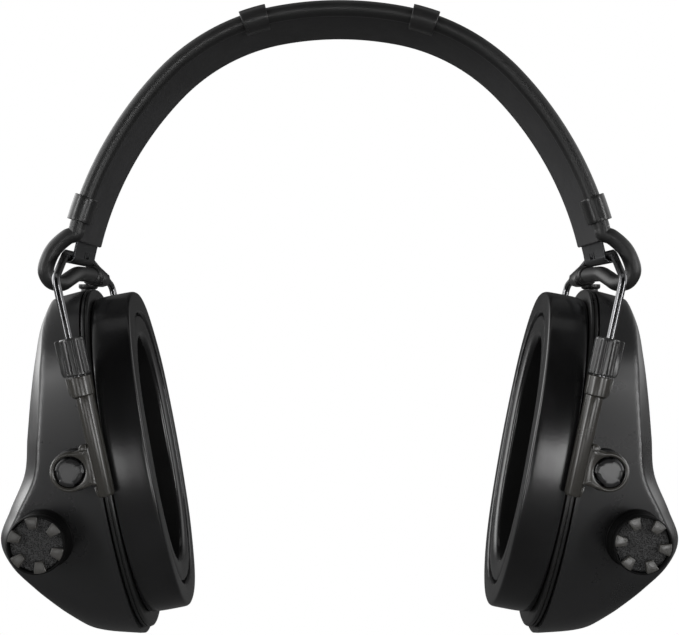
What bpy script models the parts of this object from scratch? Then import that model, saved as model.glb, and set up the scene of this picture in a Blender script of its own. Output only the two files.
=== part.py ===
"""Electronic earmuff hearing protector: sprung headband, wire yokes, sliding arms and two oval cups.

Lengths in the constants are millimetres on the drawing, whose datum plane lies DATUM_Z below the
underside of the headband's crown. Objects are placed in metres with the origin at that crown point:
+Z up, -Y the way the wearer faces, +X towards the wearer's left.
"""
import math

import bmesh
import bpy
from mathutils import Vector

for old in list(bpy.data.objects):
    bpy.data.objects.remove(old, do_unlink=True)

# ------------------------------------------------------------------ driving dimensions (mm, degrees)
DATUM_Z = 96.0  # height of the crown's underside above the drawing's datum plane
GAP = 0.3  # clearance between neighbouring pieces

BAND_RUN = ((20.0, 105.65), (40.0, 64.43), (59.0, 112.45))  # (arc length, radius) of one half
BAND_WIDTH, BAND_THICK = 30.0, 3.0
BAND_MID = 1.25  # middle of the band's thickness, outside its inner face
STRIP_WIDTH, STRIP_THICK = 27.5, 0.8
STRIP_TAIL = 4.2  # bare steel below the cover, down to the rolled end

HINGE_X, HINGE_Z = 86.4, 19.6  # axis of the rolled band end, along Y
ROLL_BORE, ROLL_OUTER = 1.45, 2.25

WIRE_R = 1.2
SHOULDER = (83.7, 39.0, 11.5)  # bend of the yoke wire
HINGE_END_Y = 17.5  # where the wire leaves the hinge axis
LEG_TILT = 12.4
LEG_LENGTH = 56.0

COLLAR_TOP, COLLAR_LENGTH, COLLAR_R = 18.2, 11.2, 4.2  # distances run down the leg from the shoulder
SOCKET_LENGTH, SOCKET_R0, SOCKET_R1 = 6.0, 3.85, 3.4
TUBE_END, TUBE_R0, TUBE_R1 = 65.8, 2.85, 2.5
BORE_R, BORE_END = 1.55, 61.5

PIVOT_X, PIVOT_Z = 79.2, -45.4  # axis of the cup pivots, along Y
LUG_Y0, LUG_Y1 = 37.9, 40.9
LUG_R, LUG_HOLE_R, BOSS_R = 5.9, 4.75, 4.4

CUP_TILT, CUP_TOE = 10.4, 2.0
CUP_X, CUP_Z = 57.9, -42.6  # centre of the cushion's face
FACE_N = 2.3  # exponent of every oval outline
CUSHION_A, CUSHION_B, CUSHION_DEPTH = 52.2, 35.9, 12.5
OPENING_A, OPENING_B = 36.5, 21.5
PLATE_A, PLATE_B, PLATE_W0, PLATE_W1 = 55.8, 35.4, 12.8, 15.2
SHELL_A, SHELL_B, SHELL_W, SHELL_SHIFT = 56.8, 35.7, 15.6, -1.4
SHELL_WALL = 2.2
SHELL_LIP, SHELL_DRAFT, SHELL_TOP_DRAFT = 0.6, 4.0, 8.0  # side wall: its foot, and its rise per mm inwards
SHELL_CROWN, SHELL_CROWN_AT = 9.0, 31.0  # the outer face falls this far at this distance from its middle
# depth of the shell at stations up its height
STATIONS = ((-58, 15.2), (-50, 19.1), (-42, 26.0), (-34, 32.8), (-26, 38.4), (-18, 40.1), (-10, 35.7),
            (0, 29.4), (12, 26.2), (24, 23.0), (36, 19.3), (46, 15.5), (56, 9.1))

MIC_X, MIC_Z, MIC_R = 89.1, -66.8, 8.8  # microphone housing, axis along Y
MIC_FACE_Y, MIC_SEAT_Y = 41.0, 37.6
TOOTH_COUNT, TOOTH_INNER_R, TOOTH_HALF = 6, 5.2, 13.0

CABLE_R = 2.5
CABLE_Y = -17.85
CLIP_STATIONS = (26.5, 109.0)  # middle of each cable clip, along one half of the band
CLIP_LENGTH = 8.0
GLAND = (88.0, 20.5)  # X and Y of the cable's entry into the cup
GLAND_TOP = 6.4
KEEPER_Y0, KEEPER_Y1, KEEPER_Z0, KEEPER_Z1 = 18.6, 26.5, 11.0, 18.0


# ------------------------------------------------------------------ materials
def material(name, colour, roughness, metallic=0.0):
    mat = bpy.data.materials.new(name)
    mat.use_nodes = True
    shader = mat.node_tree.nodes["Principled BSDF"]
    shader.inputs["Base Color"].default_value = (*colour, 1.0)
    shader.inputs["Roughness"].default_value = roughness
    shader.inputs["Metallic"].default_value = metallic
    return mat


COVER_PLASTIC = material("band_cover_plastic", (0.020, 0.020, 0.021), 0.45)
CABLE_RUBBER = material("cable_jacket", (0.012, 0.012, 0.012), 0.50)
CLIP_PLASTIC = material("clip_plastic", (0.022, 0.022, 0.022), 0.35)
SPRING_STEEL = material("spring_steel", (0.10, 0.10, 0.105), 0.35, 1.0)
WIRE_STEEL = material("wire_steel", (0.16, 0.16, 0.165), 0.22, 1.0)
ARM_PLASTIC = material("arm_plastic", (0.055, 0.052, 0.048), 0.42)
SHELL_PLASTIC = material("shell_plastic", (0.016, 0.016, 0.017), 0.30)
PLATE_PLASTIC = material("plate_plastic", (0.014, 0.014, 0.014), 0.40)
CUSHION_SKIN = material("cushion_skin", (0.010, 0.010, 0.010), 0.22)
FOAM = material("foam", (0.030, 0.030, 0.030), 0.95)
GUARD_PLASTIC = material("guard_plastic", (0.060, 0.058, 0.054), 0.45)
BUTTON_RUBBER = material("button_rubber", (0.030, 0.030, 0.030), 0.60)
BOARD_GREEN = material("board", (0.02, 0.10, 0.04), 0.50)
BATTERY_CASE = material("battery_case", (0.35, 0.36, 0.38), 0.35, 0.8)
TIN = material("tinned_metal", (0.55, 0.55, 0.55), 0.30, 1.0)


# ------------------------------------------------------------------ drawing helpers
def P(x, y, z):
    """A drawing point in the object's frame, still in millimetres."""
    return Vector((x, y, z - DATUM_Z))


def cup_point(s, u, v, w):
    """A point in the cup's own axes: u up the face, v to the rear, w outwards from the cushion's face."""
    t, q = math.radians(CUP_TILT), math.radians(CUP_TOE)
    eu = Vector((math.sin(t), 0.0, math.cos(t)))
    ev = Vector((math.sin(q) * math.cos(t), math.cos(q), -math.sin(q) * math.sin(t)))
    ew = ev.cross(eu)
    p = Vector((CUP_X, 0.0, CUP_Z)) + u * eu + v * ev + w * ew
    return P(s * p.x, p.y, p.z)


def leg_point(s, front, q, side=0.0, out=0.0):
    """A point q down the yoke's leg from the shoulder; side is across the leg, out is away from the cup's middle."""
    t = math.radians(LEG_TILT)
    x = SHOULDER[0] - q * math.sin(t) + side * math.cos(t)
    z = SHOULDER[2] - q * math.cos(t) - side * math.sin(t)
    y = SHOULDER[1] + out
    return P(s * x, -y if front else y, z)


def make(name, points, faces, mat, origin=None, angle=35.0):
    """A closed mesh object from points in millimetres; origin is its own pivot point."""
    origin = origin or Vector((0, 0, 0))
    mesh = bpy.data.meshes.new(name)
    mesh.from_pydata([(p - origin) / 1000.0 for p in points], [], faces)
    bm = bmesh.new()
    bm.from_mesh(mesh)
    bmesh.ops.remove_doubles(bm, verts=bm.verts, dist=1e-6)
    bmesh.ops.recalc_face_normals(bm, faces=bm.faces)
    bm.to_mesh(mesh)
    bm.free()
    mesh.materials.append(mat)
    mesh.shade_smooth()
    mesh.set_sharp_from_angle(angle=math.radians(angle))
    obj = bpy.data.objects.new(name, mesh)
    obj.location = origin / 1000.0
    bpy.context.scene.collection.objects.link(obj)
    return obj


def skin(rings, closed_path=False, caps=True):
    """Faces between rings of equal length, in order."""
    n = len(rings[0])
    points = [p for ring in rings for p in ring]
    faces = []
    count = len(rings)
    for i in range(count if closed_path else count - 1):
        a, b = i * n, (i + 1) % count * n
        for j in range(n):
            k = (j + 1) % n
            faces.append((a + j, a + k, b + k, b + j))
    if caps and not closed_path:
        faces.append(tuple(range(n)))
        faces.append(tuple((count - 1) * n + j for j in reversed(range(n))))
    return points, faces


def frame_on(axis):
    axis = axis.normalized()
    helper = Vector((0, 0, 1)) if abs(axis.z) < 0.9 else Vector((1, 0, 0))
    e1 = axis.cross(helper).normalized()
    return e1, axis.cross(e1).normalized()


def turned(centre, axis, profile, segments, closed=False):
    """A turned solid: profile is (radius, distance along the axis). A closed profile makes a sleeve."""
    axis = axis.normalized()
    e1, e2 = frame_on(axis)
    rings = []
    for r, d in profile:
        rings.append([centre + axis * d + (e1 * math.cos(a) + e2 * math.sin(a)) * r
                      for a in (2 * math.pi * i / segments for i in range(segments))])
    return skin(rings, closed_path=closed)


def tube_along(path, radius, segments):
    """A round bar of points with a frame carried along the path without twist."""
    rings, e1 = [], None
    for i, p in enumerate(path):
        ahead = path[min(i + 1, len(path) - 1)]
        behind = path[max(i - 1, 0)]
        t = (ahead - behind).normalized()
        if e1 is None:
            e1, _ = frame_on(t)
        e1 = (e1 - t * e1.dot(t)).normalized()
        e2 = t.cross(e1)
        rings.append([p + (e1 * math.cos(a) + e2 * math.sin(a)) * radius
                      for a in (2 * math.pi * k / segments for k in range(segments))])
    return skin(rings)


def rounded_path(corners, radius, steps=5):
    """The corners' polyline with each inner corner rounded."""
    out = [corners[0]]
    for a, b, c in zip(corners, corners[1:], corners[2:]):
        d0, d1 = (a - b).normalized(), (c - b).normalized()
        half = math.acos(max(-1, min(1, d0.dot(d1)))) / 2
        cut = min(radius / math.tan(half), (a - b).length * 0.48, (c - b).length * 0.48)
        p0, p1 = b + d0 * cut, b + d1 * cut
        for k in range(steps + 1):
            t = k / steps
            out.append(p0 * (1 - t) ** 2 + b * 2 * t * (1 - t) + p1 * t ** 2)
    out.append(corners[-1])
    return out


def smooth_path(knots, per_span):
    """A smooth curve through the knots."""
    pts = [knots[0] * 2 - knots[1]] + list(knots) + [knots[-1] * 2 - knots[-2]]
    out = []
    for a, b, c, d in zip(pts, pts[1:], pts[2:], pts[3:]):
        for k in range(per_span):
            t = k / per_span
            out.append(0.5 * (2 * b + (c - a) * t + (2 * a - 5 * b + 4 * c - d) * t * t
                              + (3 * b - a - 3 * c + d) * t ** 3))
    out.append(knots[-1])
    return out


def oval(a, b, count, shift=0.0):
    out = []
    for i in range(count):
        t = 2 * math.pi * i / count
        c, s = math.cos(t), math.sin(t)
        out.append((shift + a * math.copysign(abs(c) ** (2 / FACE_N), c),
                    b * math.copysign(abs(s) ** (2 / FACE_N), s)))
    return out


def block(corner_points):
    """A six-sided solid from its eight corners, four below and four above."""
    return corner_points, [(0, 1, 2, 3), (7, 6, 5, 4), (0, 4, 5, 1), (1, 5, 6, 2), (2, 6, 7, 3), (3, 7, 4, 0)]


def cup_block(s, u0, u1, v0, v1, w0, w1):
    low = [cup_point(s, u, v, w0) for u, v in ((u0, v0), (u1, v0), (u1, v1), (u0, v1))]
    high = [cup_point(s, u, v, w1) for u, v in ((u0, v0), (u1, v0), (u1, v1), (u0, v1))]
    return block(low + high)


def combine(obj, points, faces, operation, name):
    """A Boolean with a helper solid that isn't part of the object."""
    helper = make(name, points, faces, obj.data.materials[0])
    helper.hide_render = True
    helper.display_type = "WIRE"
    mod = obj.modifiers.new(name, "BOOLEAN")
    mod.operation = operation
    mod.object = helper
    mod.solver = "EXACT"
    return mod


# ------------------------------------------------------------------ headband
def band_station(distance, offset):
    """A point on the left half of the band, offset out from its inner face, with its tangent's angle."""
    x, z, angle, left = 0.0, DATUM_Z, 0.0, abs(distance)
    for run, radius in BAND_RUN:
        step = min(left, run)
        centre_x, centre_z = x - radius * math.sin(angle), z - radius * math.cos(angle)
        angle += step / radius
        x, z = centre_x + radius * math.sin(angle), centre_z + radius * math.cos(angle)
        left -= step
    x, z = x + left * math.cos(angle), z - left * math.sin(angle)
    x, z = x + offset * math.sin(angle), z + offset * math.cos(angle)
    return (x if distance >= 0 else -x), z, angle


BAND_HALF = sum(run for run, _ in BAND_RUN)


def band_loop(y0, y1, o0, o1, distance, bevel=0.0):
    """The band's cross-section between two edges and two offsets at one station."""
    loop = []
    if bevel:
        corners = ((y0 + bevel, o0), (y1 - bevel, o0), (y1, o0 + bevel), (y1, o1 - bevel),
                   (y1 - bevel, o1), (y0 + bevel, o1), (y0, o1 - bevel), (y0, o0 + bevel))
    else:
        corners = ((y0, o0), (y1, o0), (y1, o1), (y0, o1))
    for y, o in corners:
        x, z, _ = band_station(distance, o)
        loop.append(P(x, y, z))
    return loop


def spread(low, high, count):
    return [low + (high - low) * i / count for i in range(count + 1)]


def headband_cover():
    half_w, half_t = BAND_WIDTH / 2, BAND_THICK / 2
    slot_w, slot_t = STRIP_WIDTH / 2 + GAP, STRIP_THICK / 2 + GAP
    stations = spread(-BAND_HALF, BAND_HALF, 28)
    outer = [band_loop(-half_w, half_w, BAND_MID - half_t, BAND_MID + half_t, d, 0.7) for d in stations]
    inner = [band_loop(-slot_w, slot_w, BAND_MID - slot_t, BAND_MID + slot_t, d) for d in stations]
    points, faces = skin(outer, caps=False)
    more, inner_faces = skin(inner, caps=False)
    base = len(points)
    points += more
    faces += [tuple(base + i for i in reversed(f)) for f in inner_faces]
    for k in (0, len(stations) - 1):
        o, i = k * 8, base + k * 4
        for a, b in zip(range(4), (1, 2, 3, 0)):
            faces.append((o + 2 * a, o + 2 * a + 1, i + b, i + a))
            faces.append((o + 2 * a + 1, o + (2 * a + 2) % 8, i + b))
    return make("headband_cover", points, faces, COVER_PLASTIC)


def headband_spring():
    """The steel strip, bare below the cover, with each end rolled outwards into the yoke's hinge."""
    mid_r = (ROLL_BORE + ROLL_OUTER) / 2
    line = []
    end_x, end_z, angle = band_station(BAND_HALF + STRIP_TAIL, BAND_MID)
    # the strip meets the roll on its inner side and wraps below it
    start = math.atan2(end_z - HINGE_Z, end_x - HINGE_X)
    for k in range(10):
        a = math.radians(172.0) + math.radians(262.0) * k / 9
        line.append((HINGE_X + mid_r * math.cos(a), HINGE_Z + mid_r * math.sin(a)))
    tail = [band_station(BAND_HALF + d, BAND_MID)[:2] for d in (0.5, 2.2)]
    half = [band_station(d, BAND_MID)[:2] for d in spread(0, BAND_HALF, 18)] + tail + line
    full = [(-x, z) for x, z in reversed(half[1:])] + half
    rings = []
    for i, (x, z) in enumerate(full):
        ax, az = full[min(i + 1, len(full) - 1)]
        bx, bz = full[max(i - 1, 0)]
        tx, tz = ax - bx, az - bz
        size = math.hypot(tx, tz)
        nx, nz = -tz / size, tx / size
        rings.append([P(x + nx * o, y, z + nz * o) for y, o in
                      ((-STRIP_WIDTH / 2, -STRIP_THICK / 2), (STRIP_WIDTH / 2, -STRIP_THICK / 2),
                       (STRIP_WIDTH / 2, STRIP_THICK / 2), (-STRIP_WIDTH / 2, STRIP_THICK / 2))])
    return make("headband_spring", *skin(rings), SPRING_STEEL)


def cable_on_band():
    path = []
    for d in spread(-BAND_HALF + 4.0, BAND_HALF - 4.0, 32):
        x, z, _ = band_station(d, BAND_MID)
        path.append(P(x, CABLE_Y, z))
    return make("cable_over_band", *tube_along(path, CABLE_R, 7), CABLE_RUBBER, angle=60)


def cable_clip(name, sign, station):
    """A C-shaped clip that hugs the cable and grips the band's front edge."""
    inner = CABLE_R + GAP
    wall = 1.3
    grip = BAND_THICK / 2 + 0.25
    reach = 4.0  # how far the jaws run over the band
    section = []
    for k in range(9):  # around the cable's front half, from top to bottom
        a = math.radians(90 + 180 * k / 8)
        section.append((CABLE_Y + (inner + wall) * math.cos(a), (inner + wall) * math.sin(a)))
    tip = -BAND_WIDTH / 2 + reach
    section += [(CABLE_Y + 3.2, -(inner + wall)), (tip, -(grip + 0.9)), (tip, -grip), (-BAND_WIDTH / 2 - 0.1, -grip)]
    for k in range(7):
        a = math.radians(-40 - 280 * k / 6)
        section.append((CABLE_Y + inner * math.cos(a), inner * math.sin(a)))
    section += [(-BAND_WIDTH / 2 - 0.1, grip), (tip, grip), (tip, grip + 0.9), (CABLE_Y + 3.2, inner + wall)]
    rings = []
    for d in spread(station - CLIP_LENGTH / 2, station + CLIP_LENGTH / 2, 2):
        ring = []
        for y, o in section:
            x, z, _ = band_station(d, BAND_MID + o)
            ring.append(P(sign * x, y, z))
        rings.append(ring)
    return make(name, *skin(rings), CLIP_PLASTIC)


# ------------------------------------------------------------------ yokes, arms
def yoke_wire(side, s):
    t = math.radians(LEG_TILT)
    foot = (SHOULDER[0] - LEG_LENGTH * math.sin(t), SHOULDER[2] - LEG_LENGTH * math.cos(t))
    corners = [P(s * foot[0], -SHOULDER[1], foot[1]), P(s * SHOULDER[0], -SHOULDER[1], SHOULDER[2]),
               P(s * HINGE_X, -HINGE_END_Y, HINGE_Z), P(s * HINGE_X, HINGE_END_Y, HINGE_Z),
               P(s * SHOULDER[0], SHOULDER[1], SHOULDER[2]), P(s * foot[0], SHOULDER[1], foot[1])]
    path = rounded_path(corners, 4.0, 4)
    return make("yoke_wire_" + side, *tube_along(path, WIRE_R, 8), WIRE_STEEL,
                origin=P(s * HINGE_X, 0, HINGE_Z), angle=60)


def arm(side, s, front):
    place = ("front_" if front else "rear_") + side
    top = COLLAR_TOP + COLLAR_LENGTH + GAP
    axis = leg_point(s, front, 1) - leg_point(s, front, 0)
    origin = leg_point(s, front, COLLAR_TOP)
    body = make("arm_" + place, *turned(leg_point(s, front, 0), axis,
                ((SOCKET_R0, top), (SOCKET_R1, top + SOCKET_LENGTH), (TUBE_R0, top + SOCKET_LENGTH + 0.4),
                 (TUBE_R1, TUBE_END)), 12), ARM_PLASTIC, origin=origin)
    sy = -1 if front else 1
    pivot = P(s * PIVOT_X, 0, PIVOT_Z)
    lug = [pivot + Vector((0, sy * LUG_Y0, 0)), Vector((0, sy, 0))]
    combine(body, *turned(lug[0], lug[1], ((LUG_R, 0), (LUG_R, LUG_Y1 - LUG_Y0)), 18), "UNION", "lug_" + place)
    near, far = [], []
    for q, side_mm in ((49.6, 0.4), (52.9, 7.0), (64.0, 6.3), (64.2, 0.4)):
        near.append(leg_point(s, front, q, side_mm, LUG_Y0 + 0.15 - SHOULDER[1]))
        far.append(leg_point(s, front, q, side_mm, LUG_Y1 - 0.15 - SHOULDER[1]))
    combine(body, *block(near + far), "UNION", "web_" + place)
    combine(body, *turned(lug[0], lug[1], ((LUG_HOLE_R, -2), (LUG_HOLE_R, LUG_Y1 - LUG_Y0 + 2)), 18),
            "DIFFERENCE", "lug_hole_" + place)
    combine(body, *turned(leg_point(s, front, 0), axis, ((BORE_R, top - 3), (BORE_R, BORE_END)), 10),
            "DIFFERENCE", "wire_bore_" + place)
    # knurled friction collar pressed on the arm's mouth, around the same wire
    ribs = 14
    outer, inner = [], []
    e1, e2 = frame_on(axis)
    for i in range(ribs * 2):
        a = math.pi * i / ribs
        r = COLLAR_R + (0.18 if i % 2 else -0.12)
        outer.append((math.cos(a) * r, math.sin(a) * r))
        inner.append((math.cos(a) * BORE_R, math.sin(a) * BORE_R))
    rings = []
    for loop, q in ((inner, COLLAR_TOP), (outer, COLLAR_TOP), (outer, COLLAR_TOP + COLLAR_LENGTH),
                    (inner, COLLAR_TOP + COLLAR_LENGTH)):
        c = leg_point(s, front, q)
        rings.append([c + e1 * x + e2 * y for x, y in loop])
    make("collar_" + place, *skin(rings, closed_path=True), ARM_PLASTIC, origin=origin)


# ------------------------------------------------------------------ cups
def station_depth(u):
    """The shell's depth at a height, on a smooth curve through the stations."""
    xs = [a for a, _ in STATIONS]
    ys = [b for _, b in STATIONS]
    i = 0
    while i < len(xs) - 2 and u > xs[i + 1]:
        i += 1

    def slope(k):
        if k == 0:
            return (ys[1] - ys[0]) / (xs[1] - xs[0])
        if k == len(xs) - 1:
            return (ys[k] - ys[k - 1]) / (xs[k] - xs[k - 1])
        h0, h1 = xs[k] - xs[k - 1], xs[k + 1] - xs[k]
        return (h0 * (ys[k + 1] - ys[k]) / h1 + h1 * (ys[k] - ys[k - 1]) / h0) / (h0 + h1)

    h = xs[i + 1] - xs[i]
    t = max(0.0, min(1.0, (u - xs[i]) / h))
    return ((2 * t ** 3 - 3 * t * t + 1) * ys[i] + (t ** 3 - 2 * t * t + t) * h * slope(i)
            + (3 * t * t - 2 * t ** 3) * ys[i + 1] + (t ** 3 - t * t) * h * slope(i + 1))


def eased(low, high, x):
    t = max(0.0, min(1.0, (x - low) / (high - low)))
    return t * t * (3 - 2 * t)


def shell_height(u, v, inset=0.0):
    """Height of the shell's surface over its rim plane at a place on the plan: a steep side wall that meets
    a crowned outer face along a crease, softer towards the lower end."""
    a, b = SHELL_A - inset, SHELL_B - inset
    rho = ((abs(u - SHELL_SHIFT) / a) ** FACE_N + (abs(v) / b) ** FACE_N) ** (1 / FACE_N)
    rho = max(1e-6, min(1.0, rho))
    edge = (1 - rho) * math.hypot(u - SHELL_SHIFT, v) / rho
    face = station_depth(u) - inset - SHELL_CROWN * (abs(v) / SHELL_CROWN_AT) ** 2
    wall = SHELL_LIP + (SHELL_DRAFT + SHELL_TOP_DRAFT * eased(30, 52, u)) * edge
    soft = 1.5 + 2.0 * eased(34, 50, u) + 7.5 * (1 - eased(-46, -22, u))
    near = max(soft - abs(face - wall), 0.0) / soft
    return max(0.0, min(face, wall) - near * near * soft / 4)


RING_OUTER = (1.0, 0.985, 0.965, 0.94, 0.91, 0.87, 0.80, 0.66, 0.46, 0.24, 0.05)
RING_INNER = (1.0, 0.95, 0.88, 0.66, 0.36, 0.06)


def shell_rings(s, inset, around, fractions):
    rings = []
    for rho in fractions:
        ring = []
        for cu, cv in oval(SHELL_A - inset, SHELL_B - inset, around):
            u, v = SHELL_SHIFT + cu * rho, cv * rho
            ring.append(cup_point(s, u, v, SHELL_W + (shell_height(u, v, inset) if rho < 1 else 0.0)))
        rings.append(ring)
    return rings


def cup_shell(side, s):
    outer = shell_rings(s, 0.0, 36, RING_OUTER)
    inner = shell_rings(s, SHELL_WALL, 36, RING_INNER)
    rings = list(reversed(outer)) + inner
    body = make("cup_shell_" + side, *skin(rings), SHELL_PLASTIC,
                origin=P(s * PIVOT_X, 0, PIVOT_Z), angle=40)
    mic = P(s * MIC_X, 0, MIC_Z)
    forward = Vector((0, -1, 0))
    combine(body, *turned(mic, forward, ((MIC_R, 24.5), (MIC_R, MIC_SEAT_Y)), 24), "UNION", "mic_pod_" + side)
    combine(body, *turned(mic, forward, ((5.3, 20.0), (5.3, MIC_SEAT_Y + 2)), 14), "DIFFERENCE",
            "mic_bore_" + side)
    for place, sy in (("front", -1), ("rear", 1)):
        pivot = P(s * PIVOT_X, 0, PIVOT_Z)
        combine(body, *turned(pivot, Vector((0, sy, 0)), ((BOSS_R, 32.4), (BOSS_R, LUG_Y1 + 0.3)), 16), "UNION",
                "boss_" + place + "_" + side)
    gland = P(s * GLAND[0], GLAND[1], 0)
    combine(body, *turned(gland, Vector((0, 0, 1)), ((3.9, -8), (3.9, 20)), 16), "DIFFERENCE",
            "gland_hole_" + side)
    return body


def oval_ring(s, sections, around, name, mat, origin):
    """A solid that follows an oval: sections lists (a, b, w, shift) around its profile."""
    rings = []
    for a, b, w, shift in sections:
        rings.append([cup_point(s, u, v, w) for u, v in oval(a, b, around, shift)])
    return make(name, *skin(rings, closed_path=True), mat, origin=origin, angle=40)


def cup_fittings(side, s):
    origin = P(s * PIVOT_X, 0, PIVOT_Z)
    ring_w = CUSHION_DEPTH
    oval_ring(s, ((CUSHION_A - 2.2, CUSHION_B - 2.2, 0, 0), (CUSHION_A - 0.5, CUSHION_B - 0.5, 0.9, 0),
                  (CUSHION_A, CUSHION_B, 3.0, 0), (CUSHION_A, CUSHION_B, 8.5, 0),
                  (CUSHION_A - 1.2, CUSHION_B - 1.2, ring_w, 0), (OPENING_A, OPENING_B, ring_w, 0),
                  (OPENING_A, OPENING_B, 3.0, 0), (OPENING_A + 2.2, OPENING_B + 2.2, 0, 0)),
              32, "cushion_" + side, CUSHION_SKIN, origin)
    oval_ring(s, ((PLATE_A, PLATE_B, PLATE_W0, -0.7), (PLATE_A, PLATE_B, PLATE_W1, -0.7),
                  (17.0, 13.0, PLATE_W1, 0), (17.0, 13.0, PLATE_W0, 0)),
              32, "base_plate_" + side, PLATE_PLASTIC, origin)
    pad = [[cup_point(s, u, v, w) for u, v in oval(OPENING_A - 0.8, OPENING_B - 0.8, 24)] for w in (12.4, 8.4)]
    make("ear_foam_" + side, *skin(pad), FOAM, origin=origin)
    out = cup_point(s, 0, 0, 1) - cup_point(s, 0, 0, 0)
    make("speaker_" + side, *turned(cup_point(s, 4, 0, 0), out,
         ((17.0, 15.8), (17.0, 17.2), (12.5, 18.6), (12.5, 22.4)), 18), PLATE_PLASTIC, origin=origin)
    forward = Vector((0, -1, 0))
    mic = P(s * MIC_X, 0, MIC_Z)
    # toothed microphone guard
    guard = make("mic_guard_" + side, *turned(mic, forward, (
        (MIC_R - 0.7, MIC_SEAT_Y + GAP), (MIC_R, MIC_SEAT_Y + GAP), (MIC_R, MIC_FACE_Y - 0.5),
        (MIC_R - 0.4, MIC_FACE_Y), (MIC_R - 0.7, MIC_FACE_Y)), 24, closed=True), GUARD_PLASTIC,
        origin=origin)
    for k in range(TOOTH_COUNT):
        mid = math.radians(-20 + 60 * k)
        near, far = [], []
        for r, da in ((TOOTH_INNER_R, -15), (MIC_R - 0.45, -TOOTH_HALF), (MIC_R - 0.45, TOOTH_HALF),
                      (TOOTH_INNER_R, 15)):
            a = mid + math.radians(da)
            x, z = math.cos(a) * r * -s, math.sin(a) * r
            near.append(mic + Vector((x, -(MIC_FACE_Y - 1.0), z)))
            far.append(mic + Vector((x, -(MIC_FACE_Y - 0.05), z)))
        combine(guard, *block(near + far), "UNION", "tooth_%d_%s" % (k, side))
    make("mic_foam_" + side, *turned(mic, forward, ((MIC_R - 1.0, MIC_SEAT_Y + 0.35),
         (MIC_R - 1.0, MIC_FACE_Y - 1.35)), 24), FOAM, origin=origin)
    make("mic_capsule_" + side, *turned(mic, forward, ((4.9, 30.8), (4.9, 37.2)), 14), TIN, origin=origin)
    gland = P(s * GLAND[0], GLAND[1], 0)
    make("cable_gland_" + side, *turned(gland, Vector((0, 0, 1)), ((3.6, -4.0), (3.6, 4.0), (2.9, GLAND_TOP)),
         16), CLIP_PLASTIC, origin=origin)


def controls():
    """Three keys on the left cup's outer face, the board behind them and the input socket."""
    s = 1
    origin = P(s * PIVOT_X, 0, PIVOT_Z)
    shell = bpy.data.objects["cup_shell_left"]
    for name, u in (("button_volume_up", 26.0), ("button_power", 13.0), ("button_volume_down", 0.0)):
        v = 4.0
        h = shell_height(u, v)
        e = 0.5
        top = cup_point(s, u, v, SHELL_W + h)
        du = cup_point(s, u + e, v, SHELL_W + shell_height(u + e, v)) - top
        dv = cup_point(s, u, v + e, SHELL_W + shell_height(u, v + e)) - top
        normal = dv.cross(du).normalized()
        if normal.x < 0:
            normal = -normal
        along = du.normalized()
        across = normal.cross(along).normalized()

        def pill(length, width, low, high, count=16):
            rings = []
            for d in (low, high):
                ring = []
                for i in range(count):
                    a = 2 * math.pi * i / count
                    ring.append(top + normal * d + along * math.cos(a) * length + across * math.sin(a) * width)
                rings.append(ring)
            return skin(rings)

        combine(shell, *pill(4.4, 6.4, -8, 8), "DIFFERENCE", "hole_" + name)
        make(name, *pill(4.1, 6.1, -4.0, 0.9), BUTTON_RUBBER, origin=top)
    make("circuit_board", *cup_block(s, -22, 34, -17, 17, 26.0, 27.4), BOARD_GREEN, origin=origin)
    down = cup_point(s, -1, 0, 0) - cup_point(s, 0, 0, 0)
    base = cup_point(s, 0, 6.0, 27.0)
    combine(shell, *turned(base, down, ((3.8, 40), (3.8, 66)), 16), "DIFFERENCE", "socket_hole")
    jack = make("audio_socket", *turned(base, down, ((3.5, 46.0), (3.5, 56.2)), 16), PLATE_PLASTIC, origin=origin)
    combine(jack, *turned(base, down, ((1.8, 48.5), (1.8, 60)), 12), "DIFFERENCE", "socket_bore")


def power():
    """The battery compartment in the right cup, under a hinged door."""
    s = -1
    origin = P(s * PIVOT_X, 0, PIVOT_Z)
    shell = bpy.data.objects["cup_shell_right"]
    u0, u1, half = -30.0, 17.0, 13.0
    combine(shell, *cup_block(s, u0 - GAP, u1 + GAP, -half - GAP, half + GAP, 30.0, 70.0), "DIFFERENCE",
            "door_opening")
    rows, cols = 8, 5
    top, low = [], []
    for i in range(rows + 1):
        for j in range(cols + 1):
            u, v = u0 + (u1 - u0) * i / rows, -half + 2 * half * j / cols
            h = SHELL_W + shell_height(u, v)
            top.append(cup_point(s, u, v, h))
            low.append(cup_point(s, u, v, h - SHELL_WALL))
    points = top + low
    n = cols + 1
    off = len(top)
    faces = []
    for i in range(rows):
        for j in range(cols):
            a = i * n + j
            faces.append((a, a + 1, a + n + 1, a + n))
            faces.append((off + a, off + a + n, off + a + n + 1, off + a + 1))
    rim = ([j for j in range(n)] + [i * n + cols for i in range(1, rows + 1)]
           + [rows * n + j for j in range(cols - 1, -1, -1)] + [i * n for i in range(rows - 1, 0, -1)])
    for a, b in zip(rim, rim[1:] + rim[:1]):
        faces.append((a, off + a, off + b, b))
    hinge = cup_point(s, u1, 0, SHELL_W + shell_height(u1, 0))
    make("battery_door", points, faces, SHELL_PLASTIC, origin=hinge)
    tray = make("battery_tray", *cup_block(s, -33.5, 14.5, -12.6, 12.6, 23.4, 34.0), PLATE_PLASTIC, origin=origin)
    combine(tray, *cup_block(s, -32.5, 13.5, -11.6, 11.6, 24.4, 60.0), "DIFFERENCE", "tray_hollow")
    up = cup_point(s, 1, 0, 0) - cup_point(s, 0, 0, 0)
    for name, v in (("battery_front", -5.6), ("battery_rear", 5.6)):
        make(name, *turned(cup_point(s, 0, v, 30.0), up, ((5.25, -31.4), (5.25, 10.6), (1.9, 10.7), (1.9, 12.0)), 14),
             BATTERY_CASE, origin=origin)


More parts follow.
